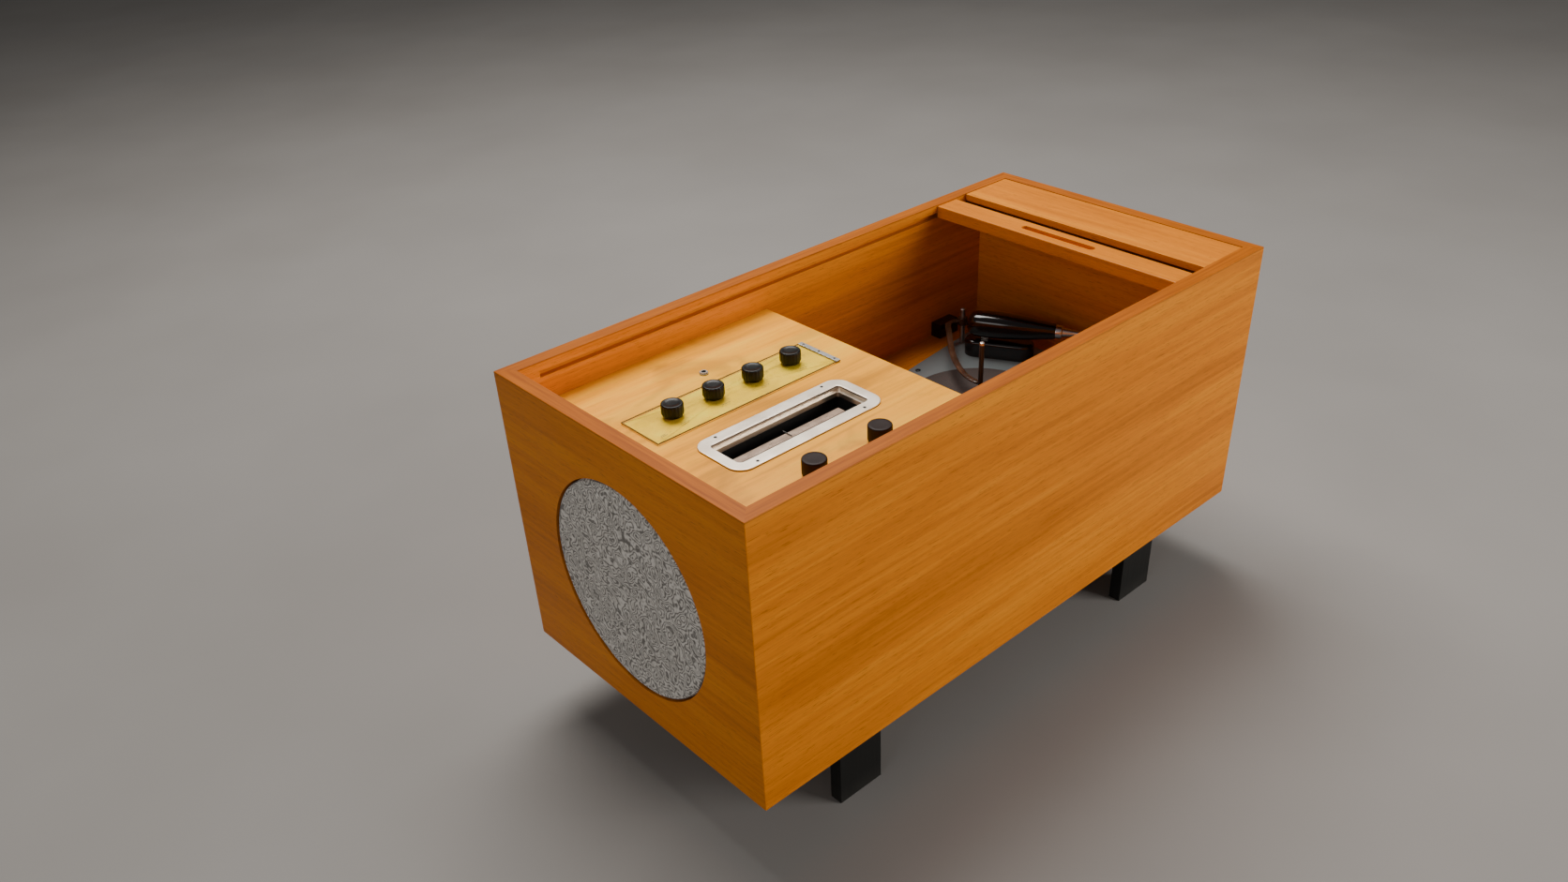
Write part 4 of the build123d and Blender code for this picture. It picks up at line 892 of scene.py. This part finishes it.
def print_bars(name, bars):
    """Thin printed bars: each is (centre x, centre y, z, length, width, heading)."""
    parts = []
    for x, y, z, length, width, heading in bars:
        place = local_place(Vector((x, y, z)), heading)
        parts.append(block(place, (-length / 2, length / 2), (-width / 2, width / 2), (0.0, MARK_THICK)))
    new_piece(name, *joined(parts), ink, "cabinet", "black_plastic", smooth=False)


def plate_marks():
    """Fine tick marks round each control, and short plain rules where labels would be."""
    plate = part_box("tone_plate")
    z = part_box("tone_plate_cover")[1][2]
    bars = []
    for control in ("bass", "treble", "band", "balance"):
        centre = joint_place(control + "_turn")
        for k in range(11):
            angle = radians(-60 + 30 * k)
            length = 2.4 * MM if k in (0, 5, 10) else 1.5 * MM
            x = centre[0] + TICK_CIRCLE * cos(angle)
            y = centre[1] + TICK_CIRCLE * sin(angle)
            bars.append((x, y, z, length, 0.32 * MM, angle))
        for shift, length in ((-4.5, 3.4), (0.2, 4.2), (5.0, 2.6)):
            bars.append((centre[0] + shift * MM, centre[1] - 22.5 * MM, z, length * MM, 0.7 * MM, 0.0))
        bars.append((centre[0] + 25.0 * MM, centre[1] + 3.0 * MM, z, 4.0 * MM, 0.5 * MM, 0.0))
    corner_x = plate[0][0] + 14.0 * MM
    for row in range(2):
        row_y = plate[0][1] + (7.0 + 2.4 * row) * MM
        bars.append((corner_x, row_y, z, (9.0 - 2 * row) * MM, 0.6 * MM, 0.0))
    print_bars("plate_marks", bars)


plate_marks()


def scale_marks():
    """Two rows of tuning marks on the cream strip, and short rules between them."""
    low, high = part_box("dial_scale")
    z = high[2]
    bars = []
    for k in range(FINE_MARKS + 1):
        x = low[0] + 6 * MM + (high[0] - low[0] - 12 * MM) * k / FINE_MARKS
        longer = 3.2 if k % 8 == 0 else 1.7
        bars.append((x, high[1] - 2.6 * MM, z, longer * MM, 0.3 * MM, pi / 2))
    for k in range(1, WIDE_MARKS):
        x = low[0] + 8 * MM + (high[0] - low[0] - 18 * MM) * (k / WIDE_MARKS) ** 1.15
        bars.append((x, low[1] + 2.8 * MM, z, 1.6 * MM, 0.45 * MM, pi / 2))
    for share in (0.14, 0.33, 0.5, 0.68, 0.85):
        x = low[0] + share * (high[0] - low[0])
        bars.append((x, (low[1] + high[1]) / 2, z, 4.5 * MM, 0.8 * MM, 0.0))
    print_bars("scale_marks", bars)


scale_marks()


# ---------------- tambour curtain
SLAT_PITCH = 12.0 * MM
SLAT_WIDTH = 10.9 * MM
SLAT_THICK = 5.0 * MM
SLAT_COUNT = 61
CANVAS_STEPS = 260
CURTAIN_DROP = 16.0 * MM
CURTAIN_HALF_WIDTH = 210.5 * MM
GATHER_LENGTH = 48.0 * MM

# A slat's section from the canvas up and over: (share of the half width, share of the thickness).
SLAT_SECTION = ((1.0, -0.42), (1.0, 0.05), (0.9, 0.33), (0.66, 0.46), (0.0, 0.5), (-0.66, 0.46),
                (-0.9, 0.33), (-1.0, 0.05), (-1.0, -0.42))
SLIDE_TRAVEL = -min(joint("lid_slide")["range_m"])


def rest_place(closed_x, start, end):
    """Where a point of the curtain rests with the lid open, from where it lies with the lid closed.

    Up to start the curtain moves with the lid, and from there to end its share of the slide fades to none.
    """
    if closed_x <= start - SLIDE_TRAVEL:
        return closed_x + SLIDE_TRAVEL
    low, high = start, end
    for _ in range(40):
        middle = (low + high) / 2
        t = (middle - start) / (end - start)
        weight = t * t * (3 - 2 * t)
        if middle - SLIDE_TRAVEL * (1 - weight) < closed_x:
            low = middle
        else:
            high = middle
    return (low + high) / 2


def roll_curtain():
    """The slats and their canvas, gathered under the fixed top as they rest with the lid open."""
    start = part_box("fixed_top_panel")[0][0] + 1.0 * MM
    end = start + GATHER_LENGTH
    middle_z = RIM - CURTAIN_DROP
    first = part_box("lid_bar")[1][0] - SLIDE_TRAVEL
    n = len(SLAT_SECTION)
    points, faces = [], []
    for number in range(SLAT_COUNT):
        centre = first + (number + 0.5) * SLAT_PITCH
        if centre + SLAT_PITCH > end:
            break
        base = len(points)
        for y in (-CURTAIN_HALF_WIDTH, CURTAIN_HALF_WIDTH):
            for share, height in SLAT_SECTION:
                x = rest_place(centre + share * SLAT_WIDTH / 2, start, end)
                points.append((x, y, middle_z + height * SLAT_THICK))
        for i in range(base, base + n - 1):
            faces.append((i, n + i, n + i + 1, i + 1))
        faces.append(tuple(range(base, base + n)))
        faces.append(tuple(range(base + 2 * n - 1, base + n - 1, -1)))
        faces.append((base, base + n - 1, base + 2 * n - 1, base + n))
    wooden = len(faces)
    canvas_base = len(points)
    canvas_side = CURTAIN_HALF_WIDTH - 3 * MM
    for i in range(CANVAS_STEPS + 1):
        x = rest_place(first + (end - first) * i / CANVAS_STEPS, start, end)
        for y in (-canvas_side, canvas_side):
            for share in (0.44, 0.54):
                points.append((x, y, middle_z - share * SLAT_THICK))
    for a in range(canvas_base, canvas_base + 4 * CANVAS_STEPS, 4):
        faces += [(a, a + 2, a + 6, a + 4), (a + 1, a + 5, a + 7, a + 3)]
        faces += [(a, a + 4, a + 5, a + 1), (a + 2, a + 3, a + 7, a + 6)]
    curtain = new_piece("tambour_slats", points, faces, slat_wood, None, "tambour", ["tambour_curtain"],
                        smooth=False)
    curtain.data.materials.append(felt_cloth)
    for face in curtain.data.polygons:
        face.material_index = 0 if face.index < wooden else 1
    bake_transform(curtain)


roll_curtain()


# ---------------- pick-up arm
# Local X runs along the arm from the pivot towards the stylus, and Z is up.
arm_axis = joint("arm_lift")["axis"]
arm_frame = local_place(joint_place("arm_lift"), atan2(arm_axis[0], -arm_axis[1]))

# Stations are (along, half width, up, down, rise), in millimetres.
SHELL_STATIONS = (
    (-27, 0.6, 0.6, 0.6, 0), (-26.4, 7.4, 7.4, 7.4, 0), (-23.5, 13.0, 13.0, 12.6, 0),
    (-17, 17.0, 17.2, 16.0, 0), (-5, 19.0, 19.2, 18.2, 0), (15, 19.2, 19.2, 18.4, 0),
    (40, 18.0, 17.8, 17.2, 0), (68, 15.2, 15.0, 15.0, 0), (92, 12.2, 12.2, 12.2, 0),
    (103, 11.0, 11.0, 11.0, 0), (104, 10.4, 10.3, 10.3, 0),
)
HEAD_STATIONS = (
    (139.5, 3.0, 2.6, 3.0, 0), (141, 5.8, 4.4, 4.8, 0), (146, 7.2, 5.4, 5.4, 0), (160, 7.4, 5.5, 5.5, 0),
    (170, 7.0, 5.0, 5.5, -0.3), (174.6, 5.6, 3.6, 4.4, -0.8), (175.9, 2.0, 1.2, 1.8, -1.2),
)
TUBE_RADII = (
    (103.6, 10.1), (104.2, 10.2), (106, 10.2), (112, 9.6), (113.6, 9.0), (114, 7.2), (116, 6.8),
    (126, 5.4), (134, 4.4), (140, 4.2), (142, 4.1),
)


def arm_sections(stations, count, squareness=2.0):
    """Points and faces of a body drawn along the arm through its stations."""
    stations = mm_rows(stations)
    uppers = smooth_curve([Vector((along, half, up)) for along, half, up, _, _ in stations], 5)
    lowers = smooth_curve([Vector((along, down, rise)) for along, _, _, down, rise in stations], 5)
    points = []
    for (along, half, up), (_, down, rise) in zip(uppers, lowers):
        for i in range(count):
            across, tall = superellipse(2 * pi * i / count, 2 / squareness)
            height = rise + tall * (up if tall >= 0 else down)
            points.append(arm_frame @ Vector((along, half * across, height)))
    return points, rings_to_faces(len(uppers), count)


def build_arm():
    """The pick-up arm's dark shell, silver tube, and head with its cartridge, stylus and finger lift."""
    shell = arm_sections(SHELL_STATIONS, 56, 2.5)
    new_piece("tonearm_shell_moulding", *shell, arm_moulding, "pickup_arm", "dark_bakelite",
              ["tonearm_shell"])
    tube = arm_sections([(along, radius, radius, radius, 0) for along, radius in TUBE_RADII], 40)
    new_piece("tonearm_tube_spun", *tube, arm_silver, "pickup_arm", "chrome", ["tonearm_tube"])
    drop = joint_place("arm_lift")[2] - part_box("tonearm_head")[0][2]
    cartridge = block(arm_frame, mm(160.0, 177.0), mm(-5.3, 5.3), (6.2 * MM - drop, -3.0 * MM))
    lift = block(arm_frame, mm(163.0, 169.0), mm(7.0, 12.0), mm(-1.6, -0.6))
    head = joined([arm_sections(HEAD_STATIONS, 40, 3.4), cartridge, lift])
    soften(new_piece("tonearm_head_moulding", *head, arm_moulding, "pickup_arm", "dark_bakelite",
                     ["tonearm_head"]), 0.5 * MM)
    stylus = turned(mm_rows([(0.35, 0.0), (0.5, 1.2), (0.9, 6.5)]),
                    arm_frame @ Matrix.Translation((174.0 * MM, 0, -drop)), 16)
    new_piece("stylus", *stylus, steel, "pickup_arm", "steel")


build_arm()


# ---------------- record steadying arm
STEADY_TOP = RIM - 168.0 * MM
STEADY_HALF_WIDTH = 4.6 * MM
STEADY_HALF_THICK = 1.8 * MM
TIP_STEPS = 6

# The bar's way from the post, in millimetres.
STEADY_WAY = ((0, 0), (-22, 8), (-47, -15), (-89, -58), (-115, -92), (-131, -122), (-136, -148))


def steadying_arm():
    """A flat curved bar of smoky plastic, swept from its post to just short of the spindle."""
    post = joint_place("steadying_arm_swing")
    way = [Vector((post[0] + x * MM, post[1] + y * MM, STEADY_TOP - 1.75 * MM)) for x, y in STEADY_WAY]
    line = smooth_curve(way, 14)
    count = 20
    points = []
    for i, at in enumerate(line):
        ahead = (line[min(i + 1, len(line) - 1)] - line[max(i - 1, 0)]).normalized()
        aside = Vector((-ahead[1], ahead[0], 0.0))
        past = max(0, i - len(line) + TIP_STEPS) / TIP_STEPS
        half_wide = STEADY_HALF_WIDTH * max(0.15, sqrt(1 - past**2))
        for k in range(count):
            angle = 2 * pi * k / count
            across = half_wide * superellipse(angle, 0.6)[0]
            tall = STEADY_HALF_THICK * superellipse(angle, 0.7)[1]
            points.append(at + across * aside + Vector((0, 0, tall)))
    bar = points, rings_to_faces(len(line), count)
    hub_profile = mm_rows([(4.1, -8), (6.9, -8), (7.4, -7.2), (7.4, 3.2), (6.9, 4), (4.1, 4)])
    hub = turned(hub_profile, Matrix.Translation((post[0], post[1], STEADY_TOP)), 40)
    new_piece("steadying_arm_bar", *joined([bar, hub]), amber, "steadying_arm", "amber_plastic",
              ["record_arm"])


steadying_arm()


# ---------------- platter mat and start knob
LABEL_RADIUS = 50.0 * MM


def ribbed_mat():
    """The brown mat: a raised edge, fine rings and a plain label area."""
    low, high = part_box("platter_mat")
    centre = (low + high) / 2
    radius = (high[0] - low[0]) / 2
    thick = high[2] - low[2]
    profile = [(radius, 0.0), (radius, thick - 0.5 * MM), (radius - 0.5 * MM, thick - 0.1 * MM),
               (radius - 3.0 * MM, thick)]
    r = radius - 4.0 * MM
    while r > LABEL_RADIUS:
        profile += [(r, thick), (r - 0.8 * MM, thick - 0.4 * MM), (r - 1.6 * MM, thick - 0.4 * MM)]
        r -= 3.2 * MM
    profile += [(0.049, thick - 0.1 * MM), (0.012, thick - 0.1 * MM), (0.0055, thick - 0.5 * MM),
                (0.004, thick - 0.5 * MM), (0.004, 0.0)]
    points, faces = turned(profile, Matrix.Translation((centre[0], centre[1], low[2])), 128)
    new_piece("platter_mat_ribbed", points, faces[:-2], mat_rubber, "turntable", "mat", ["platter_mat"])


ribbed_mat()


def start_control():
    """The changer's start and speed knob: a round skirt with a raised finger grip."""
    low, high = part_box("start_knob")
    centre = joint_place("start_turn")
    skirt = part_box("deck_plate")[1][2] + 1.0 * MM
    place = Matrix.Translation((centre[0], centre[1], skirt))
    outline = [(11.4, 0), (11.9, 0.5), (11.9, 2.4), (11.2, 3.6), (9.0, 4.2), (0.4, 4.4)]
    base = turned(mm_rows(outline), place)
    grip = block(place, mm(-11.0, 11.0), mm(-3.4, 3.4), (3.6 * MM, high[2] - skirt))
    shaft = turned([(SHAFT_RADIUS, low[2] - skirt), (SHAFT_RADIUS, 0.5 * MM)], place, 24)
    knob = new_piece("start_knob_moulding", *joined([base, grip, shaft]), arm_moulding, "start_control",
                     "dark_bakelite", ["start_knob"])
    soften(knob, 1.2 * MM, 3)


start_control()


# ---------------- stage, light and camera
def lay_floor():
    """A plain pale floor."""
    g = Graph("studio_floor")
    cloud = g.noise(2.0)
    tone = g.ramp(cloud, [(0.3, (0.226, 0.215, 0.204)), (0.7, (0.248, 0.237, 0.226))])
    material = g.finish(Base_Color=tone, Roughness=0.85, Specular_IOR_Level=0.2)
    half = 9.0
    mesh = bpy.data.meshes.new("studio_floor")
    corners = [(-half, -half, 0), (half, -half, 0), (half, half, 0), (-half, half, 0)]
    mesh.from_pydata(corners, [], [(0, 1, 2, 3)])
    floor = bpy.data.objects.new("studio_floor", mesh)
    bpy.context.scene.collection.objects.link(floor)
    mesh.materials.append(material)


def hang_softbox(name, place, target, size, watts, colour):
    """A rectangular area light that faces its target."""
    light = bpy.data.lights.new(name, "AREA")
    light.shape = "RECTANGLE"
    light.size, light.size_y = size
    light.energy = watts
    light.color = colour
    lamp = bpy.data.objects.new(name, light)
    lamp.location = place
    lamp.rotation_euler = (Vector(target) - Vector(place)).to_track_quat("-Z", "Y").to_euler()
    bpy.context.scene.collection.objects.link(lamp)


def light_studio():
    """A large box overhead, a wide one in front, a weak one at the loudspeaker end, and a dim sky."""
    hang_softbox("overhead_box", (0.5, 1.25, 3.1), (0.1, 0.1, 0.3), (2.2, 1.8), 160.0, (1.0, 0.965, 0.92))
    hang_softbox("front_box", (1.6, -2.8, 1.2), (0.1, 0.0, 0.3), (1.8, 1.4), 92.0, (1.0, 0.97, 0.93))
    hang_softbox("end_fill", (-3.0, -0.6, 1.3), (-0.3, 0.0, 0.3), (1.8, 1.4), 19.0, (1.0, 0.98, 0.96))
    world = bpy.data.worlds.new("studio_air")
    bpy.context.scene.world = world
    world.use_nodes = True
    background = world.node_tree.nodes["Background"]
    background.inputs["Color"].default_value = (1.0, 0.985, 0.965, 1.0)
    background.inputs["Strength"].default_value = 0.12


CAMERA_PLACE = (-1.071, -1.0106, 1.172)
CAMERA_AZIMUTH = radians(-41.303)
CAMERA_HEIGHT_ANGLE = radians(34.069)
CAMERA_ROLL = radians(-2.518)
CAMERA_LENS = 29.28
CAMERA_SHIFT = (-0.0131, 0.0498)


def aim_camera():
    """A camera at azimuth and height angle about the object, looking back along their direction."""
    away = Vector((
        sin(CAMERA_AZIMUTH) * cos(CAMERA_HEIGHT_ANGLE),
        -cos(CAMERA_AZIMUTH) * cos(CAMERA_HEIGHT_ANGLE),
        sin(CAMERA_HEIGHT_ANGLE),
    ))
    level = (-away).cross(Vector((0, 0, 1))).normalized()
    upright = level.cross(-away)
    right = cos(CAMERA_ROLL) * level + sin(CAMERA_ROLL) * upright
    up = cos(CAMERA_ROLL) * upright - sin(CAMERA_ROLL) * level
    data = bpy.data.cameras.new("camera")
    data.sensor_width = 36.0
    data.lens = CAMERA_LENS
    data.shift_x, data.shift_y = CAMERA_SHIFT
    data.clip_start = 0.05
    camera = bpy.data.objects.new("camera", data)
    turn = Matrix((right, up, away)).transposed().to_4x4()
    camera.matrix_world = Matrix.Translation(CAMERA_PLACE) @ turn
    bpy.context.scene.collection.objects.link(camera)
    bpy.context.scene.camera = camera


lay_floor()
light_studio()
aim_camera()
